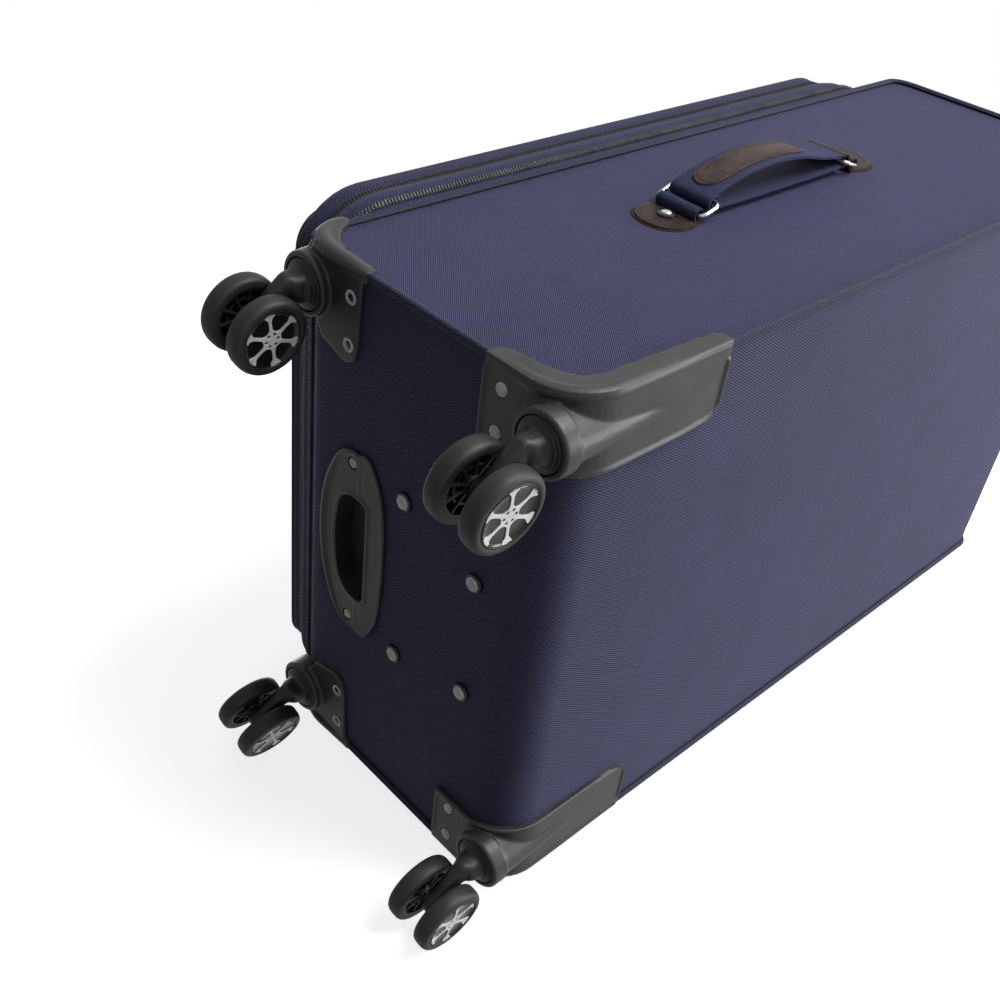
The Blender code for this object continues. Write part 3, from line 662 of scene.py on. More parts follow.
def case_mesh():
    columns = case_columns()
    levels = [k / 40 for k in range(41)]
    x_inner = [-103.5 + 17.25 * k for k in range(13)]
    x_outer = [103.5 + (WIDE - 103.5) * k / 7 for k in range(1, 8)]
    xs = [-x for x in reversed(x_outer)] + x_inner + x_outer
    back_low, back_high = columns[-1][1], columns[-1][2]
    profile = [(y, low) for y, low, high in columns]
    profile += [(0.0, back_low + (back_high - back_low) * t) for t in levels[1:-1]]
    profile += [(y, high) for y, low, high in reversed(columns)]
    rows = []
    for y, z in profile:
        row = []
        for x in xs:
            spread = fullness((x + WIDE) / (2 * WIDE), 6)
            pucker = noise.noise(Vector((x, y, z)) * 0.02) * 0.35 * spread
            if y == 0.0:
                out = 2.2 * spread * fullness((z - back_low) / (back_high - back_low)) + pucker
                row.append((x, out, z))
            elif z < 1.0 and y < -BASE_BEND:
                row.append((x, y, z - 0.9 * spread * fullness((y - LIP - 18) / 185) - pucker))
            else:
                row.append((x, y, z))
        rows.append(row)
    band = grid(rows)
    sides = []
    for side in (-1, 1):
        rows = []
        for y, low, high in columns:
            row = []
            for t in levels:
                z = low + (high - low) * t
                spread = fullness(t, 8) * fullness((y - LIP) / -LIP, 5)
                out = spread * (0.6 + 0.5 * noise.noise(Vector((side * 50, y, z)) * 0.012))
                row.append((side * (WIDE + out), y, z))
            rows.append(row)
        sides.append(grid(rows))
    shape = bmesh.new()
    for mesh in [band] + sides:
        shape.from_mesh(mesh)
    bmesh.ops.remove_doubles(shape, verts=shape.verts, dist=0.05)
    doomed = []
    for face in shape.faces:
        x, y, z = face.calc_center_median()
        at_bezel = z > TALL - 1 and abs(x) < 103 and -60 < y < -20.5
        at_slot = z < 1 and abs(face.normal.z) > 0.9 and -203.5 < y < -151
        if at_bezel or (at_slot and (abs(x) < 50 or (abs(x) < 68 and y > -190))):
            doomed.append(face)
    bmesh.ops.delete(shape, geom=doomed, context="FACES")
    return to_mesh(shape)


def rectangle_loop(path, wide, low, high, bend):
    """Where each point of a rim path falls on a squarer loop round it."""
    out = []
    for x, z, nx, nz in path:
        reach_x = wide - bend if nx > 0 else -(wide - bend)
        if abs(nx) < 1e-6:
            corner_x = x
        else:
            corner_x = reach_x + nx * bend if 0 < abs(nz) < 1 else math.copysign(wide, nx)
        if abs(nz) < 1e-6:
            corner_z = z
        elif 0 < abs(nx) < 1:
            corner_z = (low + bend if nz < 0 else high - bend) + nz * bend
        else:
            corner_z = low if nz < 0 else high
        out.append((corner_x, corner_z))
    return out


case_skin = add("case_fabric", case_mesh(), twill, "case", ["case_shell"], 35, True)
thicken(case_skin, WALL, lining)

RIM = rim_path(rim_low.x, rim_low.z, rim_high.x, rim_high.z, RIM_BEND, left=HINGE_RIM_BEND)
outer_loop = rectangle_loop(RIM, WIDE, rim_low.z, rim_high.z, 13.0)
corner_rows = []
for (x, z, nx, nz), (far_x, far_z) in zip(RIM, outer_loop):
    near = (x - nx * 1.5, z - nz * 1.5)
    row = [(far_x + (near[0] - far_x) * t, LIP - 0.6 * math.sin(math.pi * t), far_z + (near[1] - far_z) * t)
           for t in (0.0, 0.33, 0.66, 1.0)]
    corner_rows.append(row + [(near[0], LIP + 3.0, near[1])])
rim_flap = grid(corner_rows, wrap_rows=True)
rim_flap = add("case_rim_fabric", rim_flap, twill, "case", (), 40, True)
thicken(rim_flap, 0.0008)

columns = case_columns()
side_outline = [(y, low) for y, low, high in columns]
back_low, back_high = columns[-1][1], columns[-1][2]
side_outline += [(0.0, back_low + (back_high - back_low) * k / 60) for k in range(1, 60)]
side_outline += [(y, high) for y, low, high in reversed(columns)]
side_outline += [(LIP, rim_high.z + (rim_low.z - rim_high.z) * k / 60) for k in range(1, 60)]
side_outline = resample([(y, z, 0.0) for y, z in side_outline], 4.0, closed=True)


def beside(loop, out):
    """A closed (y, z) loop moved sideways, out of the area it goes round."""
    moved_loop = []
    for k, (y, z, _) in enumerate(loop):
        before, after = loop[k - 1], loop[(k + 1) % len(loop)]
        along = Vector((after[0] - before[0], after[1] - before[1])).normalized()
        moved_loop.append((y + along.y * out, z - along.x * out))
    return moved_loop


for side, word in ((1, "right"), (-1, "left")):
    path = [(side * (WIDE + 1.4), y, z) for y, z in beside(side_outline, 1.2)]
    piping = tube(path, 2.5, 12, closed=True)
    add(word + "_side_piping", piping, cord_navy, "case", (), 60, True)
    # Near-black cords in the grooves either side of the piping: painted shade.
    grooves = []
    for shift, out in ((1.9, -1.5), (-1.4, 1.7)):
        line = [(side * (WIDE + shift), y, z) for y, z in beside(side_outline, out)]
        grooves.append(tube(line, 0.85, 6, closed=True))
    add(word + "_side_seams", join(grooves), seam_painted_shade, "case")


# ---- the two zips, the expander and the lid ----
def coil(path, n, y, width, height, closed, pitch=2.8):
    """Half a zip's coil: a cord whose thickness rises and falls once for each tooth."""
    line = [rim_point(spot, n, y) + (spot[2], spot[3]) for spot in path]
    rows = []
    for index, (x, y, z, nx, nz) in enumerate(resample(line, pitch / 4, closed)):
        swell = (1.0, 1.0, 0.2, 0.2)[index % 4]
        row = []
        for k in range(6):
            turn = math.radians(60 * k)
            out = math.cos(turn) * height * swell
            row.append((x + nx * out, y + math.sin(turn) * width * (0.7 + 0.3 * swell), z + nz * out))
        rows.append(row)
    return grid(rows, wrap_rows=closed, wrap_columns=True, caps=not closed)


EXPANSION_ZIP = FRONT - 20.4    # depth of the expansion zip's middle
tape_section = [(-2.5, LIP + 1.0), (-0.4, LIP - 0.8), (0.6, LIP - 3.5), (1.6, EXPANSION_ZIP + 7.0),
                (1.8, EXPANSION_ZIP + 4.6), (1.7, EXPANSION_ZIP + 3.0), (1.6, EXPANSION_ZIP + 2.2)]
tape = add("expansion_tape_case", grid(rim_rows(RIM, tape_section), wrap_rows=True), front_twill_painted_shade, "case",
           (), 40, True)
thicken(tape, 0.0007)
for word, body, shift in (("case", "case", 1.5), ("band", "expander", -1.5)):
    teeth = coil(RIM, 2.8, EXPANSION_ZIP + shift, 1.7, 1.9, True)
    add("expansion_coil_" + word, teeth, coil_nylon, body)

sleeve_end = rim_high.y
outer_section = [(-5.6, FRONT - 17.0), (-3.6, FRONT - 19.6), (0.6, FRONT - 22.4), (2.6, FRONT - 24.2),
                 (3.9, FRONT - 27.0), (4.2, FRONT - 31.0), (3.4, FRONT - 35.0), (1.9, FRONT - 38.4),
                 (0.9, FRONT - 39.8), (1.5, FRONT - 40.8), (1.2, FRONT - 41.8), (-0.2, FRONT - 42.5),
                 (-2.2, FRONT - 42.9), (-3.2, FRONT - 43.8)]
inner_section = [(-6.6, FRONT - 44.2), (-7.0, FRONT - 30.0), (-7.8, FRONT), (-7.8, sleeve_end),
                 (-5.8, sleeve_end), (-5.8, FRONT), (-5.4, FRONT - 8.0)]
rows = []
for spot in RIM:
    sway = 0.6 * noise.noise(Vector((spot[0], spot[1], 7.0)) * 0.011)
    row = [rim_point(spot, n + (sway if n > -3 else 0.0), y) for n, y in outer_section]
    rows.append(row + [rim_point(spot, n, y) for n, y in inner_section])
band = grid(rows, wrap_rows=True, wrap_columns=True)
refine(add("expander_fabric", band, front_twill_painted_shade, "expander", ["expander_frame"], 0, True))
# A near-black cord in the expander's groove: painted shade.
seam = [rim_point(spot, 1.0, FRONT - 39.8) for spot in RIM]
add("expander_groove_shade", tube(resample(seam, 5.0, True), 0.7, 6, closed=True), seam_painted_shade, "expander")

# the main zip runs round three sides; the lid's cloth hinge takes the fourth
zip_turn = RIM_BEND + 8.0
ZIP_RIM = [point for point in RIM if point[0] > rim_low.x + 1 or not
           rim_low.z + zip_turn < point[1] < rim_high.z - zip_turn]
split = next(k for k in range(len(ZIP_RIM)) if math.dist(ZIP_RIM[k][:2], ZIP_RIM[k - 1][:2]) > 60)
ZIP_RIM = ZIP_RIM[split:] + ZIP_RIM[:split]
main_zip = rim_low.y - 1.4
for word, body, shift in (("band", "expander", 1.5), ("lid", "lid", -1.5)):
    teeth = coil(ZIP_RIM, -1.0, main_zip + shift, 1.7, 1.5, False)
    add("main_coil_" + word, teeth, coil_dark, body)
lid_tape = [(-5.5, main_zip - 2.6), (-1.8, main_zip - 3.0), (-1.2, main_zip - 4.2), (-1.6, main_zip - 6.8),
            (-3.6, main_zip - 8.0)]
tape = add("main_tape_lid", grid(rim_rows(ZIP_RIM, lid_tape)), tape_dark, "lid")
thicken(tape, 0.0007)

LID = rim_path(lid_low.x, lid_low.z, lid_high.x, lid_high.z, LID_BEND, left=HINGE_LID_BEND)


def faced(path, section, face_y, steps, crown=0.0):
    """A rim's section, carried in over its face to a line down the middle."""
    low_z = min(point[1] for point in path)
    high_z = max(point[1] for point in path)
    half_x = (max(point[0] for point in path) - min(point[0] for point in path)) / 2
    mid_x = (max(point[0] for point in path) + min(point[0] for point in path)) / 2
    inset = min(half_x, (high_z - low_z) / 2) * 0.97
    rows = []
    for x, z, nx, nz in path:
        row = [(x + nx * n, y, z + nz * n) for n, y in section]
        start = row[-1]
        if half_x * 2 < high_z - low_z:
            goal = (mid_x, min(max(z, low_z + inset), high_z - inset))
        else:
            goal = (min(max(x, mid_x - half_x + inset), mid_x + half_x - inset), (low_z + high_z) / 2)
        for k in range(1, steps + 1):
            t = k / steps
            rise = crown * (1 - (1 - t) ** 2) ** 0.45
            row.append((start[0] + (goal[0] - start[0]) * t, face_y - rise,
                        start[2] + (goal[1] - start[2]) * t))
        rows.append(row)
    return rows


lid_section = [(-6.5, rim_low.y - 2.2), (-4.0, rim_low.y - 3.4), (-2.6, rim_low.y - 5.6),
               (-1.2, rim_low.y - 7.4), (-0.4, rim_low.y - 10.0), (-0.4, rim_low.y - 13.0),
               (-1.2, rim_low.y - 16.0), (-2.8, rim_low.y - 18.2), (-5.0, lid_low.y + 0.3), (-9.0, lid_low.y)]
lid_mesh = grid(faced(LID, lid_section, lid_low.y, 14), wrap_rows=True, weld=0.05)
lid_skin = add("lid_fabric", lid_mesh, front_twill_painted_shade, "lid", ["lid_shell"], 50, True)
thicken(lid_skin, WALL, lining)
edge = [(x - nx * 1.6, lid_low.y + 2.6, z - nz * 1.6) for x, z, nx, nz in LID]
add("lid_edge_piping", tube(resample(edge, 4.0, True), 1.5, 8, closed=True), tape_dark, "lid")

hinge_rows = []
span = [rim_low.z + zip_turn + 6 + (TALL - 2 * rim_low.z - 2 * zip_turn - 12) * k / 30 for k in range(31)]
for z in span:
    row = []
    for k in range(9):
        t = k / 8
        out = -1.2 + 3.0 * math.sin(math.pi * t)
        row.append((rim_low.x - out, rim_low.y + 3.0 - 11.0 * t, z))
    hinge_rows.append(row)
hinge_mesh = grid(hinge_rows)
hinge_strip = add("lid_cloth_hinge", hinge_mesh, cord_navy, "")
thicken(hinge_strip, 0.0010)
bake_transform(hinge_strip)

for name, bulge, puff in (("lower_pocket", 0.6, 1.0), ("upper_pocket", 0.4, 0.7)):
    low, high = local_box(name)
    path = []
    for x, z, nx, nz in rim_path(low.x, low.z, high.x, high.z, 30.0, 10.0):
        t = (z - low.z) / (high.z - low.z) if abs(nx) > 0.9 else (x - low.x) / (high.x - low.x)
        pull = 2.2 * math.sin(math.pi * min(max(t, 0), 1)) + 0.5 * noise.noise(Vector((x, z, 3.0)) * 0.02)
        path.append((x - nx * pull, z - nz * pull, nx, nz))
    deep = high.y - low.y
    back = high.y
    section = [(-14.0, back + 0.2), (-1.0, back), (0.0, back - deep * 0.18), (0.5, back - deep * 0.45),
               (-0.4, back - deep * 0.70), (-3.0, back - deep * 0.86), (-7.5, back - deep * 0.93),
               (-13.0, back - deep * 0.955)]
    rows = faced(path, section, back - deep * 0.955, 12, deep * 0.055 + bulge)
    for row in rows:
        for k in range(8, len(row)):
            x, y, z = row[k]
            sag = noise.noise(Vector((x * 0.011, z * 0.011, low.z))) * puff
            row[k] = (x, y - sag * min(1.0, (k - 7) / 3), z)
    pad = closed_up(grid(rows, wrap_rows=True, weld=0.05))
    pad = add(name + "_pad", pad, pocket_twill, "lid", [name], 60, True)
    refine(pad)
    edge = [(x - nx * 2.2, back - deep * 0.90, z - nz * 2.2) for x, z, nx, nz in path]
    add(name + "_piping", tube(resample(edge, 5.0, True), 1.8, 8, closed=True), cord_navy, "lid")

low_top = local_box("lower_pocket")[1].z
high_bottom = local_box("upper_pocket")[0].z
pocket_zip_z = (low_top + high_bottom) / 2
pocket_half = local_box("lower_pocket")[1].x - 4
lid_face = lid_low.y
strip = prism(rounded_box(-pocket_half, pocket_zip_z - 9, pocket_half, pocket_zip_z + 9, 3.0, 3), "Y",
              lid_face - 0.9, lid_face - 0.05)
add("pocket_zip_tape", strip, tape_dark, "lid")
for word, offset in (("low", -1.75), ("high", 1.75)):
    rows = []
    for index in range(int((pocket_half - 4) * 2 / 0.7)):
        swell = (1.0, 0.86, 0.55, 0.86)[index % 4]
        x = -pocket_half + 4 + index * 0.7
        row = []
        for k in range(6):
            turn = math.radians(60 * k)
            row.append((x, lid_face - 1.0 - (1 + math.cos(turn)) * 0.9 * swell,
                        pocket_zip_z + offset + math.sin(turn) * 1.7 * (0.8 + 0.2 * swell)))
        rows.append(row)
    add("pocket_coil_" + word, grid(rows, wrap_columns=True, caps=True), coil_dark, "lid")


# ---- corner guards ----
GUARD = 4.3                     # how far a guard's outer face stands off the cloth
BACK_RIVETS = [(196, -50), (167, -51)]
FRONT_RIVETS = [(191, -186), (157, -187)]
MIRROR = Matrix.Scale(-1, 4, (1, 0, 0))


def shell_cutter(grow=0.3):
    """The tray's volume, which the guards and plates fit round."""
    outline = [(FRONT - grow, -grow)]
    outline += arc((-BASE_BEND, BASE_BEND), BASE_BEND + grow, -90, 0, 16)
    outline += [(grow, TALL / 2), (FRONT - grow, TALL / 2)]
    return prism(outline, "X", -WIDE - grow, WIDE + grow)


def swivel_cut(centre):
    mouth = [(0, -20), (18.0, -20), (18.0, -4.0), (3.8, -4.0), (3.8, -1.5), (0, -1.5)]
    return lathe(mouth, "Z", 48, centre)


def rivet_holes(spots, radius, floor):
    """Blind holes in a face that looks down, one for each rivet."""
    return [lathe([(0, -9), (radius, -9), (radius, floor), (0, floor)], "Z", 24, (x, y, 0)) for x, y in spots]


def round_bend(radius, first=-90, steps=12):
    """(y, z) points round the bend between base and back, on a larger or smaller circle."""
    return arc((-BASE_BEND, BASE_BEND), radius, first, 0, steps)


def back_guard_mesh():
    """A plate under the base that wraps the bend and runs up the back, with a flange, a boss and a ridge."""
    centre = (CASTERS["back_right"].x, CASTERS["back_right"].y, 0.0)
    top = 131.0
    band = [(-66, -GUARD)] + round_bend(BASE_BEND + GUARD) + [(GUARD, top), (-4, top)]
    band += round_bend(BASE_BEND - 4)[::-1] + [(-66, 4)]
    edge = WIDE + GUARD - 0.4
    parts = [prism(band, "X", 157.0, edge)]
    flange = [(-66, -GUARD + 0.6)] + round_bend(BASE_BEND + GUARD - 0.6)
    flange += [(GUARD - 0.6, top - 1), (-5, top - 1), (-9, 125), (-12, 64), (-13, 37), (-17, 24), (-26, 17),
               (-39, 13), (-51, 12), (-60, 10), (-66, 4)]
    parts.append(prism(flange, "X", WIDE - 4, edge))
    line = [(-66, 0.5)] + round_bend(BASE_BEND) + [(0.5, 80), (0.5, top - 2)]
    line = resample([(WIDE - 0.5, y, z) for y, z in line], 5.0)
    swell = [4.4 + 1.1 * math.sin(math.pi * min(1.0, k / len(line) * 1.15)) for k in range(len(line))]
    parts.append(tube(line, swell, 14))
    # the boss runs up into a ridge with a soft crest, which narrows and sinks towards the leg's end
    boss = [(0, -11.0), (20.2, -11.0), (21.7, -9.4), (21.7, 2.0), (0, 2.0)]
    parts.append(lathe(boss, "Z", 48, centre))
    rows = []
    for k in range(15):
        t = k / 14
        z = -4.0 + (top - 16) * t
        half = 21.7 - 7.0 * t
        crest = centre[1] + 21.2 - 4.5 * t - 3.2 * t * t
        row = []
        for m in range(17):
            turn = math.pi * m / 16
            lift = math.sin(turn)
            point = 0.75 * lift + 0.25 * lift ** 3
            row.append((centre[0] - half * math.cos(turn), (crest + 18.0) * point - 18.0, z))
        rows.append(row)
    parts.append(grid(rows, wrap_columns=True, caps=True))
    # a raised lip round the plate's inner side and its far end
    lip = [(158.5, -64.5, -GUARD + 0.5), (158.5, -35, -GUARD + 0.5)]
    lip += [(158.5, y, z) for y, z in round_bend(BASE_BEND + GUARD - 0.5, -80, 10)]
    lip += [(x, GUARD - 0.5, z) for x, z in ((158.5, 96), (160.5, 120), (164, top - 2), (200, top - 2))]
    parts.append(tube(resample(lip, 4.0), 2.1, 8))
    lip = [(158.5, -64.5, -GUARD + 0.5), (205, -64.5, -GUARD + 0.5)]
    parts.append(tube(lip, 1.9, 8))
    corner = [(150, 110), (157, 110), (158.2, 118), (162, 124), (170, 128), (176, 140), (150, 140)]
    cuts = [shell_cutter(), swivel_cut(centre), prism(corner, "Y", -8, 12)]
    return fuse(parts, 0.95, 5, cuts + rivet_holes(BACK_RIVETS, 5.2, -3.6))


def front_guard_mesh():
    """The short guard: a plate under the base, a soft roll round the edge and a horn up the side's rim."""
    centre = (CASTERS["front_right"].x, CASTERS["front_right"].y, 0.0)
    plate = [(213, -170), (210, -176), (155, -179), (146, -182), (142, -191), (149, -216), (160, -222),
             (170, -231), (184, -236), (198, -235), (208, -228), (213, -216)]
    parts = [prism(plate, "Z", -GUARD, 4.0)]
    horn = [(-172, -GUARD + 0.5), (-226, -GUARD + 0.5), (-237, 6), (-244, 19), (-246, 33), (-240, 35),
            (-236, 31), (-231, 22), (-218, 11), (-204, 5.5), (-182, 6), (-172, 4)]
    parts.append(prism(horn, "X", WIDE - 4, WIDE + GUARD - 0.2))
    line = smooth_curve([(WIDE, -173, 0.0), (WIDE, -195, 0.0), (WIDE, -216, 0.5), (WIDE, -231, 7.0),
                         (WIDE, -239, 18.0), (WIDE, -243, 31.0)], 6)
    swell = [4.2 + 2.4 * math.sin(math.pi * k / (len(line) - 1)) ** 0.6 for k in range(len(line))]
    parts.append(tube(line, swell, 14))
    cheek = smooth_curve([(198, -226, -3.0), (203, -231, 0.0), (208, -234, 6.0), (209.5, -237, 14.0)], 6)
    parts.append(tube(cheek, [4.5 - 1.5 * k / (len(cheek) - 1) for k in range(len(cheek))], 12))
    boss = [(0, -11.0), (20.4, -11.0), (21.7, -9.8), (22.2, 0.0), (22.2, 6.0), (0, 6.0)]
    parts.append(lathe(boss, "Z", 48, centre))
    # the cloth rolls away from the plate at the front, so the guard's back follows the roll
    outline = [(y, low - 0.3) for y, low, _ in case_columns() if y < -60]
    outline = [(LIP - 1.0, 11.0)] + outline + [(-60, 60), (LIP - 1.0, 60)]
    room = prism(outline, "X", -WIDE - 0.3, WIDE + 0.3)
    return fuse(parts, 0.9, 5, [room, swivel_cut(centre)] + rivet_holes(FRONT_RIVETS, 5.4, -3.7))


def dome_rivet(radius, rise, collar=0.0, drop=0.0):
    """A rivet's head on a face that looks down, with a dark collar under it if collar is given."""
    head = [(0, drop), (radius, drop), (radius, drop - rise * 0.35), (radius * 0.86, drop - rise * 0.75),
            (radius * 0.5, drop - rise * 0.96), (0, drop - rise)]
    ring = [(0, 0), (collar, 0), (collar, drop * 0.6), (collar * 0.94, drop), (radius * 0.9, drop - 0.4),
            (0, drop - 0.4)]
    return lathe(head, "Z", 32), lathe(ring, "Z", 32) if collar else None


guard_shapes = {"back": back_guard_mesh(), "front": front_guard_mesh()}
for depth, shape in guard_shapes.items():
    for word, flip in (("right", Matrix.Identity(4)), ("left", MIRROR)):
        name = f"{depth}_{word}"
        add(name + "_guard", moved(shape, flip), guard_plastic, "case",
            [name + "_corner_guard"], 50)
        if depth == "back":
            head, _ = dome_rivet(4.6, 2.0)
            heads = [moved(head, Matrix.Translation((x, y, -3.7))) for x, y in BACK_RIVETS]
        else:
            eyelet = lathe([(5.1, 0), (5.1, -1.0), (4.5, -1.5), (3.4, -1.3), (2.7, -0.6), (2.7, 0)], "Z", 32)
            heads = [moved(eyelet, Matrix.Translation((x, y, -3.8))) for x, y in FRONT_RIVETS]
            plug = lathe([(0, 0), (3.2, 0), (3.2, -0.5), (2.2, -1.0), (0, -1.2)], "Z", 24)
            plugs = [moved(plug, flip @ Matrix.Translation((x, y, -3.8))) for x, y in FRONT_RIVETS]
            add(name + "_eyelet_plugs", join(plugs), gloss_plastic, "case")
        add(name + "_rivets", moved(join(heads), flip), rivet_metal, "case")


# ---- casters ----
WHEEL_GAP = 7.5                 # from the middle of a caster to a wheel's inner side


def caster_place(joint, facing=1):
    """A wheel's own frame: Y is its axle, pointing out of the caster for the wheel on the facing side."""
    axis = Vector(joint["axis"]).normalized() * facing
    up = Vector((0, 0, 1))
    ahead = axis.cross(up)
    place = Matrix((ahead, axis, up)).transposed().to_4x4()
    place.translation = local(joint["pos_m"])
    return place


def tyre_mesh():
    near = WHEEL_GAP
    profile = [(21.2, 0.5), (23.8, 0.5), (25.2, 0.8), (26.2, 1.7), (26.8, 3.4), (26.95, 6.0), (26.95, 8.6),
               (26.7, 10.6), (26.0, 12.3), (24.8, 13.4), (23.4, 13.9), (21.8, 13.9), (21.2, 13.5)]
    return lathe([(r, near + y) for r, y in profile], "Y", 72)


def hub_mesh():
    """The hub's rim, its closed outer disc, and the open ribs that show on its inner side."""
    near = WHEEL_GAP
    rim = [(19.2, 0.9), (21.1, 0.6), (21.1, 13.2), (20.4, 13.6), (19.9, 13.0), (19.9, 11.9), (0, 11.9),
           (0, 10.0), (19.2, 10.0)]
    parts = [lathe([(r, near + y) for r, y in rim], "Y", 72)]
    boss = [(2.9, 0.2), (6.4, 0.2), (6.6, 1.0), (6.6, 10.2), (2.9, 10.2)]
    parts.append(lathe([(r, near + y) for r, y in boss], "Y", 36))
    ring = [(12.4, 2.6), (13.6, 2.6), (13.6, 10.2), (12.4, 10.2)]
    parts.append(lathe([(r, near + y) for r, y in ring], "Y", 48))
    for k in range(10):
        rib = [(6.2, near + 1.8), (19.6, near + 1.6), (19.6, near + 10.2), (6.2, near + 10.2)]
        parts.append(moved(prism(rib, "Z", -0.65, 0.65), Matrix.Rotation(math.radians(36 * k), 4, "Y")))
    return join(parts)


def cap_mesh():
    """The glossy cap: a shallow dish inside a thin raised lip."""
    profile = [(0, 11.0), (19.7, 11.0), (19.7, 13.3), (19.1, 13.6), (18.5, 13.1), (17.4, 12.5), (13.0, 12.35),
               (9.0, 12.5), (0, 12.6)]
    return lathe([(r, WHEEL_GAP + y) for r, y in profile], "Y", 72)


def star_mesh():
    """Six arms that flare towards the rim, round a middle disc with six dimples."""
    outline = []
    arm = ((6.5, 24.0), (6.9, 14.5), (8.2, 8.4), (11.0, 5.4), (14.0, 4.4), (15.8, 5.6), (17.2, 9.0),
           (18.2, 10.8), (19.3, 11.2))      # radius, and degrees to either side of the arm's middle
    for k in range(6):
        middle = 60 * k
        for r, half in arm:
            outline.append((r, middle - half))
        for r, half in ((19.6, 5.0), (19.7, 0.0), (19.6, -5.0)):
            outline.append((r, middle - half))
        for r, half in arm[::-1]:
            outline.append((r, middle + half))
    points = [(r * math.cos(math.radians(a)), r * math.sin(math.radians(a))) for r, a in outline]
    shape = bmesh.new()
    loop = [shape.verts.new((x, 0, z)) for x, z in points]
    edges = [shape.edges.new((loop[i], loop[(i + 1) % len(loop)])) for i in range(len(loop))]
    bmesh.ops.triangle_fill(shape, edges=edges, use_beauty=True)
    grown = bmesh.ops.extrude_face_region(shape, geom=list(shape.faces))
    for vert in [item for item in grown["geom"] if isinstance(item, bmesh.types.BMVert)]:
        vert.co.y += 0.7
    for vert in shape.verts:
        vert.co.y += WHEEL_GAP + 12.35 + (0.55 if vert.co.xz.length > 18.0 else 0.0)
    plate = to_mesh(shape)
    dimples = []
    for k in range(6):
        turn = math.radians(60 * k + 30)
        spot = (4.4 * math.cos(turn), 0, 4.4 * math.sin(turn))
        dimples.append(lathe([(0, 20.0), (1.15, 20.0), (1.30, 21.2), (0, 21.2)], "Y", 12, spot))
    body, cutter = linked("helper", plate), linked("helper", join(dimples))
    carve(body, cutter)
    return settled(body, [cutter])


def fork_mesh(trail, drop):
    """Stepped collar, flared neck and the web that narrows to the axle's knuckle."""
    collar = [(0, -4.4), (17.3, -4.4), (17.3, -10.4), (16.2, -11.3), (14.6, -11.5), (14.2, -12.4),
              (12.8, -12.8), (11.6, -14.0), (10.6, -16.6), (10.3, -19.4), (7.0, -20.6), (6.4, -31.0),
              (0, -31.0)]
    parts = [lathe(collar, "Z", 48)]
    # height, how far the middle leans towards the axle, half length and half width
    stations = [(-14.0, 0.0, 10.8, 10.6), (-18.6, 0.4, 10.4, 10.0), (-20.6, 1.0, 10.0, 9.4),
                (-22.5, 1.6, 9.6, 8.5), (-24.6, 2.0, 9.2, 7.2), (-27.0, 1.0, 9.4, 6.4),
                (-31.0, -3.0, 9.9, 6.3), (-37.0, -8.4, 10.4, 6.2), (-42.0, -13.2, 10.2, 6.1),
                (-47.0, -17.4, 8.6, 6.0), (-52.0, -19.0, 6.0, 5.6), (-54.4, -19.2, 3.0, 4.6)]
    turns = [math.radians(15 * k) for k in range(24)]
    rows = []
    for z, middle, reach, half in stations:
        rows.append([(middle * trail / 19 + reach * math.copysign(abs(math.cos(t)) ** 0.8, math.cos(t)),
                      half * math.copysign(abs(math.sin(t)) ** 0.7, math.sin(t)), z * drop / 46)
                     for t in turns])
    parts.append(grid(rows, wrap_columns=True, caps=True))
    parts.append(lathe([(0, -6.6), (7.2, -6.6), (8.0, -5.6), (8.0, 5.6), (7.2, 6.6), (0, 6.6)], "Y", 32,
                       (-trail, 0, -drop)))
    bore = lathe([(0, -9), (2.8, -9), (2.8, 9), (0, 9)], "Y", 24, (-trail, 0, -drop))
    pin = lathe([(0, -27), (3.8, -27), (3.8, 0), (0, 0)], "Z", 24)
    return fuse(parts, 0.55, 4, [bore, pin])


first = JOINTS["back_right_wheel_a_spin"]
axle_offset = local(first["pos_m"]) - CASTERS["back_right"]
wheel_parts = {
    "tyre": (tyre_mesh(), tyre_rubber, "tyre_rubber", "tyre"),
    "hub": (hub_mesh(), caster_plastic, "caster_plastic", "hub"),
    "cap": (cap_mesh(), gloss_plastic, "caster_plastic", None),
    "star": (star_mesh(), star_paint, "steel", None),
}
fork_shape = fork_mesh(axle_offset.xy.length, -axle_offset.z)
star_turns = {"back_right": 4, "back_left": -8, "front_right": 10, "front_left": 20}
for corner in CORNERS:
    swivel = JOINTS[corner + "_wheel_a_spin"]
    hub_place = caster_place(swivel)
    fork_place = hub_place.copy()
    fork_place.translation = CASTERS[corner]
    add(corner + "_caster_fork", fork_shape, caster_plastic, corner + "_caster",
        [corner + "_fork"], 40, place=fork_place)
    for letter, facing in (("a", 1), ("b", -1)):
        body = f"{corner}_wheel_{letter}"
        place = caster_place(swivel, facing) @ Matrix.Rotation(math.radians(star_turns[corner]), 4, "Y")
        for word, (shape, finish, finish_slot, node_word) in wheel_parts.items():
            gone = [f"{corner}_{node_word}_{letter}"] if node_word else []
            add(f"{corner}_{word}_{letter}_detail", shape, finish, body, gone, 35, place=place)


# ---- carry handles, made along U with N off the panel ----
HANDLES = {}
RING_N = 6.0                    # height of a ring's hinge off the panel
RING_REACH = 17.0               # from a ring's hinge to the bar that holds the strap
RING_TILT = math.radians(20)
for handle, axes in (("side", ((0, 0, 1), (0, -1, 0), (1, 0, 0))),
                     ("top", ((1, 0, 0), (0, 1, 0), (0, 0, 1)))):
    pins = [local(JOINTS[f"{handle}_ring_{letter}_hinge"]["pos_m"]) for letter in "ba"]
    place = Matrix(axes).transposed().to_4x4()
    place.translation = (pins[1] + pins[0]) / 2 - Vector(axes[2]) * RING_N
    HANDLES[handle] = place
    if handle == "side":
        RING_U = (pins[0] - pins[1]).length / 2


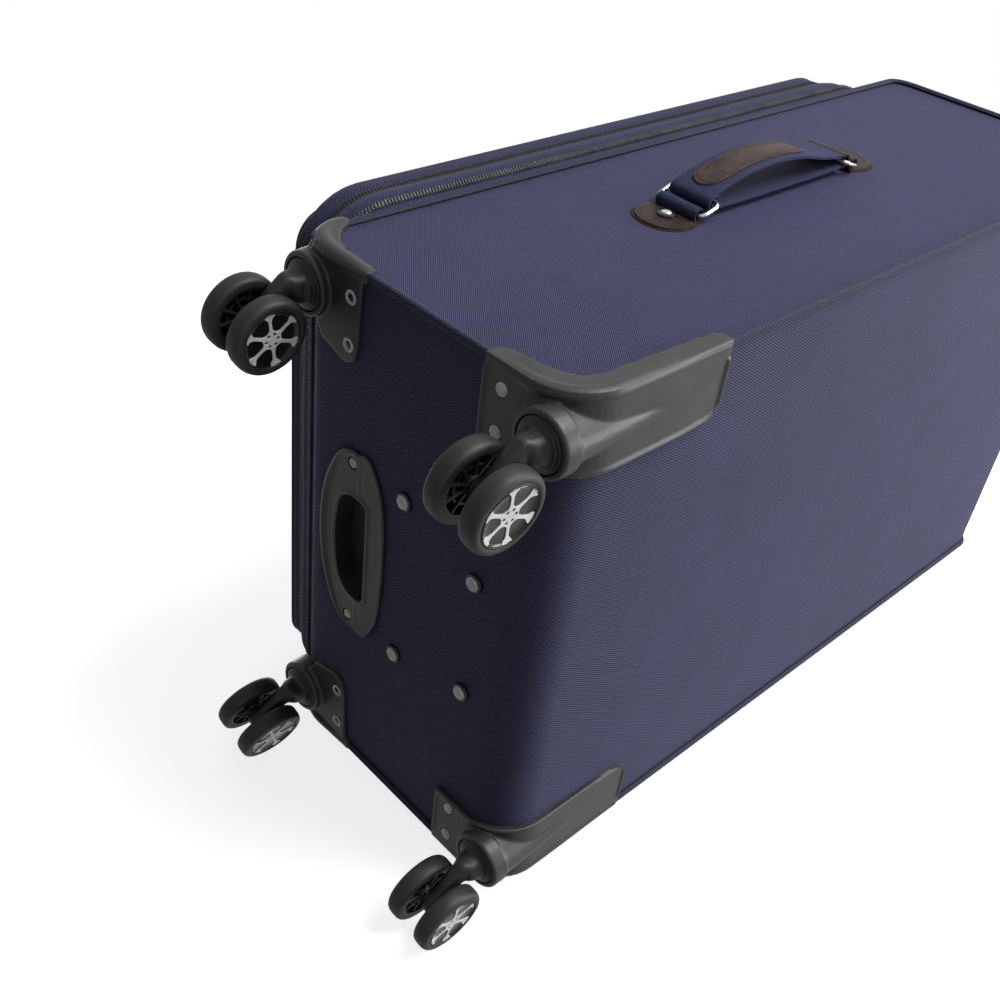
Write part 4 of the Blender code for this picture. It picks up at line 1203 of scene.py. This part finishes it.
def stitches(path, pitch=3.4, length=2.3, radius=0.42):
    """A row of thread stitches along a path, each a short cord with tapered ends."""
    points = resample(path, pitch)
    parts = []
    for before, after in zip(points, points[1:]):
        start, end = Vector(before), Vector(after)
        along = (end - start).normalized()
        middle = (start + end) / 2
        spots = [middle + along * (length * t) for t in (-0.5, -0.38, 0.0, 0.38, 0.5)]
        parts.append(tube(spots, [radius * 0.35, radius * 0.85, radius, radius * 0.85, radius * 0.35], 6))
    return join(parts)


def strip(outline, thickness, base, edge=0.5, crown=0.0):
    """A flat piece of leather with a rounded upper edge, lying at height base."""
    middle_u = sum(u for u, w in outline) / len(outline)
    first_u, last_u = min(u for u, w in outline), max(u for u, w in outline)
    rows = []
    for u, w in outline:
        pull = Vector((middle_u - u, -w)).normalized()
        row = [(u, w, base), (u, w, base + thickness - edge)]
        for turn in (30, 60, 90):
            turn = math.radians(turn)
            inward = edge * (1 - math.cos(turn))
            rise = edge * math.sin(turn)
            row.append((u + pull.x * inward, w + pull.y * inward, base + thickness - edge + rise))
        spot = row[4]
        goal = min(max(u, first_u + 9), last_u - 9)
        for t in (0.12, 0.35, 0.65, 1.0):
            row.append((spot[0] + (goal - spot[0]) * t, spot[1] - spot[1] * t,
                        base + thickness + crown * math.sin(t * math.pi / 2)))
        rows.append(row)
    return closed_up(grid(rows, wrap_rows=True, weld=0.02))


def tab_outline():
    near = RING_U - 3.0
    end = smooth_curve([(110, -24.3), (121, -22.6), (129.5, -16.5), (134, -7.0), (134.8, 0), (134, 7.0),
                        (129.5, 16.5), (121, 22.6), (110, 24.3)], 5)
    return [(near, 19.0), (near, -19.0), (102, -22.0)] + end + [(102, 22.0)]


def tab_meshes(way):
    flip = Matrix.Scale(way, 4, (1, 0, 0))
    lower = strip(tab_outline(), 1.2, 0.5, 0.5)
    upper_outline = [(u - (1.6 if u > 105 else 0), w * 0.93) for u, w in tab_outline()]
    upper = strip(upper_outline, 1.1, 1.7, 0.5, 0.3)
    coil_path = [(RING_U + 5.0 * math.cos(math.radians(a)), 0, RING_N + 5.0 * math.sin(math.radians(a)))
                 for a in range(-70, 271, 10)]
    rows = []
    for u, _, n in coil_path:
        out = Vector((u - RING_U, 0, n - RING_N)).normalized()
        inner, outer = Vector((u, 0, n)) - out * 1.6, Vector((u, 0, n)) + out * 0.2
        rows.append([(inner.x, -17.5, inner.z), (outer.x, -18.4, outer.z), (outer.x, 18.4, outer.z),
                     (inner.x, 17.5, inner.z)])
    roll = grid(rows, wrap_columns=True, caps=True)
    line = [(u - 4.6 if u > 100 else u + 2, w * 0.80) for u, w in tab_outline()[3:-1]]
    line = [(RING_U + 6, -16.8)] + line + [(RING_U + 6, 16.8)]
    seam = stitches([(u, w, 2.85) for u, w in line])
    cross = stitches([(RING_U + 7.5, w, 2.95) for w in (-14, 14)], 3.2, 2.2)
    return [moved(mesh, flip) for mesh in (lower, upper, roll, join([seam, cross]))]


def ring_mesh(way):
    """A wire ring at rest, tilted off the panel, with its bar in the leather roll."""
    half = 21.5
    flat = rounded_box(-RING_REACH, -half, 0, half, 4.0, 5)
    path = []
    for u, w in flat:
        path.append((way * (RING_U + u * math.cos(RING_TILT)), w, RING_N - u * math.sin(RING_TILT)))
    return tube(path, 1.72, 12, closed=True)


STRAP_TOP = [(-90, 12.2), (-89, 15.0), (-86, 17.4), (-76, 21.0), (-66, 23.5), (-54, 26.4), (-42, 28.5),
             (-26, 30.0), (-10, 30.5), (6, 29.4), (22, 27.5), (37, 24.4), (52, 21.0), (67, 18.8),
             (78, 17.4), (83, 16.7)]
STRAP_UNDER = [(-84, 9.4), (-66, 8.2), (-40, 7.8), (0, 7.8), (40, 7.8), (66, 8.2), (84, 9.4)]


def ribbon(path, half, thickness, ribs=0.0, edge=0.8):
    """A strap along (u, n) points: its outer face on the path, with selvedges and fine lengthwise ribs."""
    steps = 24
    rows = []
    points = [Vector((u, n)) for u, n in path]
    for i, here in enumerate(points):
        along = (points[min(i + 1, len(points) - 1)] - points[max(i - 1, 0)]).normalized()
        out = Vector((-along.y, along.x))
        row = []
        for k in range(steps + 1):
            w = half - 2 * half * k / steps
            selvedge = edge * max(0.0, (abs(w) - half + 1.6) / 1.6) ** 2
            rise = -selvedge * 0.5 + (ribs if k % 2 else 0.0)
            spot = here + out * rise
            row.append((spot.x, w, spot.y))
        for k in range(steps, -1, -4):
            w = half - 2 * half * k / steps
            spot = here - out * thickness
            row.append((spot.x, w * 0.99, spot.y))
        rows.append(row)
    return grid(rows, wrap_columns=True, caps=True)


def strap_meshes():
    upper = ribbon(smooth_curve(STRAP_TOP, 4), 17.5, 2.4, 0.10)
    lower = ribbon(smooth_curve(STRAP_UNDER, 6), 18.5, 1.7, 0.12)
    bar_u = RING_U - RING_REACH * math.cos(RING_TILT)
    bar_n = RING_N + RING_REACH * math.sin(RING_TILT)
    ends = []
    for way in (-1, 1):
        loop = [(bar_u + 7.6 * math.cos(math.radians(a)) + 0.4, bar_n + 6.0 * math.sin(math.radians(a)))
                for a in range(120, -121, -12)]
        loop = [(way * u, n) for u, n in loop]
        if way < 0:
            loop = loop[::-1]
        ends.append(ribbon(loop, 18.4, 1.7, 0.1))
    return upper, lower, ends


def patch_outline():
    near = smooth_curve([(-66, -11.5), (-76, -9.0), (-80.5, -3.0), (-80.5, 3.0), (-76, 9.0), (-66, 11.5)], 5)
    far = smooth_curve([(24, 11.5), (33, 9.0), (37, 3.0), (37, -3.0), (33, -9.0), (24, -11.5)], 5)
    straight = [(-66 + 90 * k / 14, 11.6) for k in range(1, 14)]
    back = [(24 - 90 * k / 14, -11.6) for k in range(1, 14)]
    return near + straight + far + back


def crown_at(u):
    """Height of the strap's outer face at u."""
    curve = smooth_curve(STRAP_TOP, 4)
    for (u0, n0), (u1, n1) in zip(curve, curve[1:]):
        if u0 <= u <= u1 and u1 > u0:
            return n0 + (n1 - n0) * (u - u0) / (u1 - u0)
    return curve[-1][1]


def on_crown(mesh, lift):
    """Lays a flat mesh on the arched strap, clear of its end bends."""
    made = mesh.copy()
    for vert in made.vertices:
        vert.co.z += crown_at(max(-84.0, min(84.0, vert.co.x))) + lift
    return made


def cut_fine(mesh, reach=9):
    """Triangles small enough for a flat mesh to follow the strap's arch."""
    shape = bmesh.new()
    shape.from_mesh(mesh)
    bmesh.ops.triangulate(shape, faces=[face for face in shape.faces if len(face.verts) > 4])
    long_edges = [edge for edge in shape.edges if edge.calc_length() > reach]
    bmesh.ops.subdivide_edges(shape, edges=long_edges, cuts=3)
    return to_mesh(shape)


for handle, place in HANDLES.items():
    for letter, way in (("a", -1), ("b", 1)):
        lower, upper, roll, seam = tab_meshes(way)
        tab = f"{handle}_tab_{letter}"
        stands_for = f"{handle}_handle_tab_{letter}"
        add(tab + "_backing", lower, edge_paint, "case", place=place)
        add(tab, upper, dark_leather, "case", [stands_for], place=place)
        woven = way < 0             # one loop is webbing, the other leather
        add(tab + "_loop", roll, webbing if woven else dark_leather, "case",
            cloth=woven, place=place)
        add(tab + "_stitching", seam, thread_brown, "case", place=place)
        head, collar = dome_rivet(4.0, 1.5, 7.2, -1.6)
        stud = Matrix.Translation((way * 111.0, 0, 2.9)) @ Matrix.Rotation(math.pi, 4, "X")
        add(tab + "_rivet", moved(head, stud), steel, "case", (), 35, place=place)
        collar = moved(collar, stud)
        add(tab + "_rivet_collar", collar, gloss_plastic, "case", (), 35, place=place)
        ring_body = f"{handle}_ring_{letter}"
        add(ring_body + "_wire", ring_mesh(way), steel, ring_body,
            [f"{handle}_handle_ring_{letter}"], 60, place=place)
    upper, lower, ends = strap_meshes()
    body = handle + "_strap"
    add(body + "_upper", upper, webbing, body, [handle + "_handle_strap"], 30, True, place=place)
    add(body + "_lower", lower, webbing_low, body, (), 30, True, place=place)
    add(body + "_end_a", ends[0], webbing, body, (), 30, True, place=place)
    add(body + "_end_b", ends[1], dark_leather, body, (), 30, place=place)
    border = patch_outline()
    patch = on_crown(cut_fine(strip(border, 1.6, 0.0, 0.5)), -0.2)
    add(handle + "_patch", patch, brown_leather, body, (), 45, place=place)
    rim_line = [(u, w, 0.9) for u, w in border + border[:1]]
    rim_cord = on_crown(tube(resample(rim_line, 2.5)[:-1], 0.55, 6, closed=True), -0.5)
    add(handle + "_patch_edge", rim_cord, edge_paint, body, (), 45, place=place)
    sewn = [(u * 0.955 - 1.0, w * 0.80, 1.55) for u, w in border + border[:1]]
    seam = on_crown(stitches(sewn, 3.2, 2.2, 0.36), 0.0)
    add(handle + "_patch_stitching", seam, thread_brown, body, (), 45, place=place)


# ---- base: grab plate and studs ----
def grab_outline(front, back, half):
    """The grab plate's outline: a bowed front edge and a flatter heel."""
    edge = [(half, back - 21), (half - 4, front + 27), (half - 15, front + 15), (35, front + 3.5)]
    heel = [(-half, back - 21), (5 - half, back - 15), (21 - half, back - 6.0), (-36, back - 1.5)]
    edge += [(0, front)] + [(-x, y) for x, y in edge[::-1]]
    heel += [(0, back)] + [(-x, y) for x, y in heel[::-1]]
    return smooth_curve(edge, 5) + smooth_curve(heel, 5)[1:-1]


GRAB_RIVETS = [(-69, -179), (69, -179)]
grab_low, grab_high = local_box("base_grab_handle")
plate = grab_outline(grab_low.y + 1.0, grab_high.y - 1.0, grab_high.x - 1.0)
slot = smooth_curve([(38, -162.5), (41.5, -166.5), (42.5, -174), (40, -184), (30, -192), (0, -196.0),
                     (-32, -192), (-44, -184), (-47.5, -174), (-47, -166.5), (-43, -162.5)], 4)
plate_parts = [prism(plate, "Z", -3.6, 1.0)]
HEEL_Y = -172                   # where the plate's thick front rim gives way to the heel's thin one
front_rim = [(x, y, -2.6) for x, y in plate if y < HEEL_Y]
swell = [1.8 + 1.6 * math.sin(math.pi * k / (len(front_rim) - 1)) for k in range(len(front_rim))]
plate_parts.append(tube(front_rim, swell, 10))
heel_rim = [(x, y, -2.4) for x, y in plate if y >= HEEL_Y]
plate_parts.append(tube(heel_rim, 1.6, 8))
slot_rim = [(x * 1.03, -179.5 + (y + 179.5) * 1.12, -3.0) for x, y in slot]
plate_parts.append(tube(slot_rim, 1.7, 8, closed=True))
plate_parts.append(prism([(-56, -199), (56, -199), (56, -160), (-56, -160)], "Z", -1.0, grab_high.z))
grab_cuts = [prism(slot, "Z", -12, grab_high.z - 2)]
for block in ([(-90, -215), (90, -215), (90, -199.2), (-90, -199.2)],
              [(-90, -159.8), (90, -159.8), (90, -130), (-90, -130)],
              [(-56.2, -200), (-90, -200), (-90, -158), (-56.2, -158)],
              [(56.2, -200), (90, -200), (90, -158), (56.2, -158)]):
    grab_cuts.append(prism(block, "Z", -0.2, 20))
for x, y in GRAB_RIVETS:
    grab_cuts.append(lathe([(0, -8), (5.4, -8), (5.0, -2.4), (0, -2.4)], "Z", 24, (x, y, 0)))
grab_shape = fuse(plate_parts, 0.8, 4, grab_cuts)
add("grab_plate", grab_shape, grab_plastic, "case", ["base_grab_handle"], 50)
head, _ = dome_rivet(3.9, 1.8)
heads = [moved(head, Matrix.Translation((x, y, -2.5))) for x, y in GRAB_RIVETS]
add("grab_plate_rivets", join(heads), rivet_metal, "case")

STUDS = [(69, -126), (49, -55), (-69, -126), (-49, -55)]
board_high = local_box("base_board")[1]
outline = [(-86, -145), (86, -145), (86, -100), (98, -60), (98, -36), (-98, -36), (-98, -60), (-86, -100)]
panel = add("base_board_panel", prism(outline, "Z", board_high.z - 4.0, board_high.z), board, "case",
            ["base_board"], 30)
panel.modifiers.new("edges", "BEVEL").width = 0.0008
head, collar = dome_rivet(5.2, 2.3, 6.9, -2.4)
at = [Matrix.Translation((x, y, -0.6)) for x, y in STUDS]
add("base_stud_heads", join([moved(head, place) for place in at]), rivet_metal, "case", (), 35)
add("base_stud_collars", join([moved(collar, place) for place in at]), gloss_plastic, "case", (), 35)


# ---- telescopic handle: the frame's own parts, with edges and finishes ----
def dress(node, material, width=0.0, segments=3):
    made = frame["nodes"][node]
    for index in range(len(made.data.materials)):
        made.data.materials[index] = material
    if width:
        edges = made.modifiers.new("edges", "BEVEL")
        edges.width = width
        edges.segments = segments
        edges.limit_method = "ANGLE"
        edges.angle_limit = math.radians(35)
        made.modifiers.new("normals", "WEIGHTED_NORMAL")


dress("trolley_bezel", guard_plastic, 0.0008)
dress("trolley_grip", moulded("grip_plastic", (0.016, 0.016, 0.017), (0.036, 0.036, 0.038), 0.42), 0.0022, 4)
dress("release_button", gloss_plastic, 0.0010)
for word in ("left", "right"):
    dress("trolley_outer_tube_" + word, aluminium, 0.0006, 2)
    dress("trolley_inner_tube_" + word, aluminium, 0.0008, 3)
for corner in CORNERS:
    dress(corner + "_swivel_pin", steel)
    dress(corner + "_axle", steel)


# ---- zip sliders ----
HALF_SLIDER = 5.5               # from a slider's end to its middle


def slider_mesh(direction):
    """A zip slider with its bridge and a puller that lies along the tape, at the origin, facing up."""
    body = [prism(rounded_box(-5.3, -3.8, 5.3, 3.8, 1.6, 4), "Z", 0.1, 2.2),
            tube([(-3.6, 0, 1.8), (-2.2, 0, 2.9), (1.2, 0, 3.1), (3.4, 0, 1.8)], 0.8, 8)]
    parts = [fuse(body, 0.3, 3)]
    loop = [(direction * (3.0 + x), y, 2.4) for x, y in rounded_box(0, -2.1, 8, 2.1, 1.4, 4)]
    parts.append(tube(loop, 0.55, 8, closed=True))
    pull = rounded_box(10.0, -2.6, 33.0, 2.6, 2.0, 5)
    hole = rounded_box(26.5, -1.3, 31.0, 1.3, 1.2, 4)
    blade = prism([(direction * x, y) for x, y in pull], "Z", 1.5, 2.9)
    cut = prism([(direction * x, y) for x, y in hole], "Z", 0, 5)
    parts.append(fuse([blade], 0.3, 2, [cut]))
    return join(parts)


for name, body, direction in (("main_zip_slider_a", "main_slider_a", 1),
                              ("main_zip_slider_b", "main_slider_b", -1),
                              ("expansion_zip_slider", "expansion_slider", -1)):
    low, high = local_box(name)
    x = low.x + HALF_SLIDER if direction > 0 else high.x - HALF_SLIDER
    place = Matrix.Translation((x, (low.y + high.y) / 2, low.z))
    add(name + "_metal", slider_mesh(direction), slider_metal, body, [name], 35, place=place)
low, high = local_box("pocket_zip_slider")
place = Matrix.Translation((high.x - HALF_SLIDER, high.y, (low.z + high.z) / 2))
place = place @ Matrix.Rotation(math.pi / 2, 4, "X")
add("pocket_zip_slider_metal", slider_mesh(-1), slider_metal, "pocket_slider",
    ["pocket_zip_slider"], 35, place=place)


# ---- stage and lights ----
def plane(name, corners, material):
    mesh = bpy.data.meshes.new(name)
    mesh.from_pydata(corners, [], [tuple(range(len(corners)))])
    mesh.materials.append(material)
    made = linked(name, mesh)
    for kind in ("shadow", "diffuse", "glossy", "transmission"):
        setattr(made, "visible_" + kind, False)


def paper(name, reach, centre):
    """Pale paper that fades into the white surround. Its back is clear, so that it hides nothing."""
    sheet = Shader(name, roughness=0.9)
    sheet.main.inputs["Specular IOR Level"].default_value = 0.0
    fibre = sheet.noise(60.0, 4.0)
    sheet.finish(base_color=sheet.blend(fibre, (0.86, 0.86, 0.86), (0.90, 0.90, 0.90)))
    place = sheet.node("Mapping", {"Vector": sheet.place(), "Location": [-part for part in centre]})
    far = sheet.node("VectorMath", {0: place}, 1, operation="LENGTH")
    white = sheet.node("Emission", {"Color": (1, 1, 1), "Strength": 1.0})
    lift = sheet.node("Emission", {"Color": (1, 1, 1), "Strength": 0.76})
    lit = sheet.node("AddShader", {0: sheet.main.outputs[0], 1: lift})
    fade = sheet.node("MixShader", {0: sheet.ramp(far, reach * 0.55, reach), 1: lit, 2: white})
    clear = sheet.node("BsdfTransparent", {})
    sides = sheet.node("MixShader", {0: sheet.node("NewGeometry", {}, 6), 1: fade, 2: clear})
    sheet.plug(sheet.tree.nodes["Material Output"].inputs[0], sides)
    return sheet.material


visual_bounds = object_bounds()
low, high = visual_bounds
middle = (low + high) / 2
plane("floor", [(-3, -3, low.z), (3, -3, low.z), (3, 3, low.z), (-3, 3, low.z)],
      paper("floor_paper", 1.6, (0, 0, low.z)))
plane("side_floor", [(low.x, -3, -3), (low.x, 3, -3), (low.x, 3, 3), (low.x, -3, 3)],
      paper("side_paper", 0.9, (low.x, 0, middle.z)))


def softbox(name, spot, target, size, power):
    lamp = bpy.data.lights.new(name, "AREA")
    lamp.shape = "DISK"
    lamp.size = size
    lamp.energy = power
    made = linked(name, lamp)
    made.location = spot
    made.rotation_mode = "QUATERNION"
    made.rotation_quaternion = (Vector(target) - Vector(spot)).to_track_quat("-Z", "Y")


softbox("key", (2.2, 0.9, 1.3), middle, 1.6, 62)
softbox("back_fill", (0.3, 1.9, 2.4), middle, 1.5, 44)
softbox("front_fill", (-0.9, -2.4, 1.6), middle, 2.0, 34)
softbox("low_fill", (0.9, 1.0, -1.2), middle, 1.2, 1.5)

# the camera sees plain white, while the object gets a softer light that is brighter from above
sky = Shader("surround", bpy.data.worlds, "Background", color=(1, 1, 1, 1), strength=1.0)
split = sky.node("SeparateXYZ", {0: sky.node("TexCoord", {}, "Generated")}, 2)
height = sky.ramp(split, -0.6, 0.7, 0.05, 0.55)
ray = sky.tree.nodes.new("ShaderNodeLightPath").outputs
shine = sky.maths("MULTIPLY_ADD", ray["Is Glossy Ray"], 0.40, height)
glow = sky.node("Background", {"Strength": shine})
seen = sky.node("MixShader", {0: ray["Is Camera Ray"], 1: glow, 2: sky.main.outputs[0]})
sky.plug(sky.tree.nodes["World Output"].inputs[0], seen)
bpy.context.scene.world = sky.material
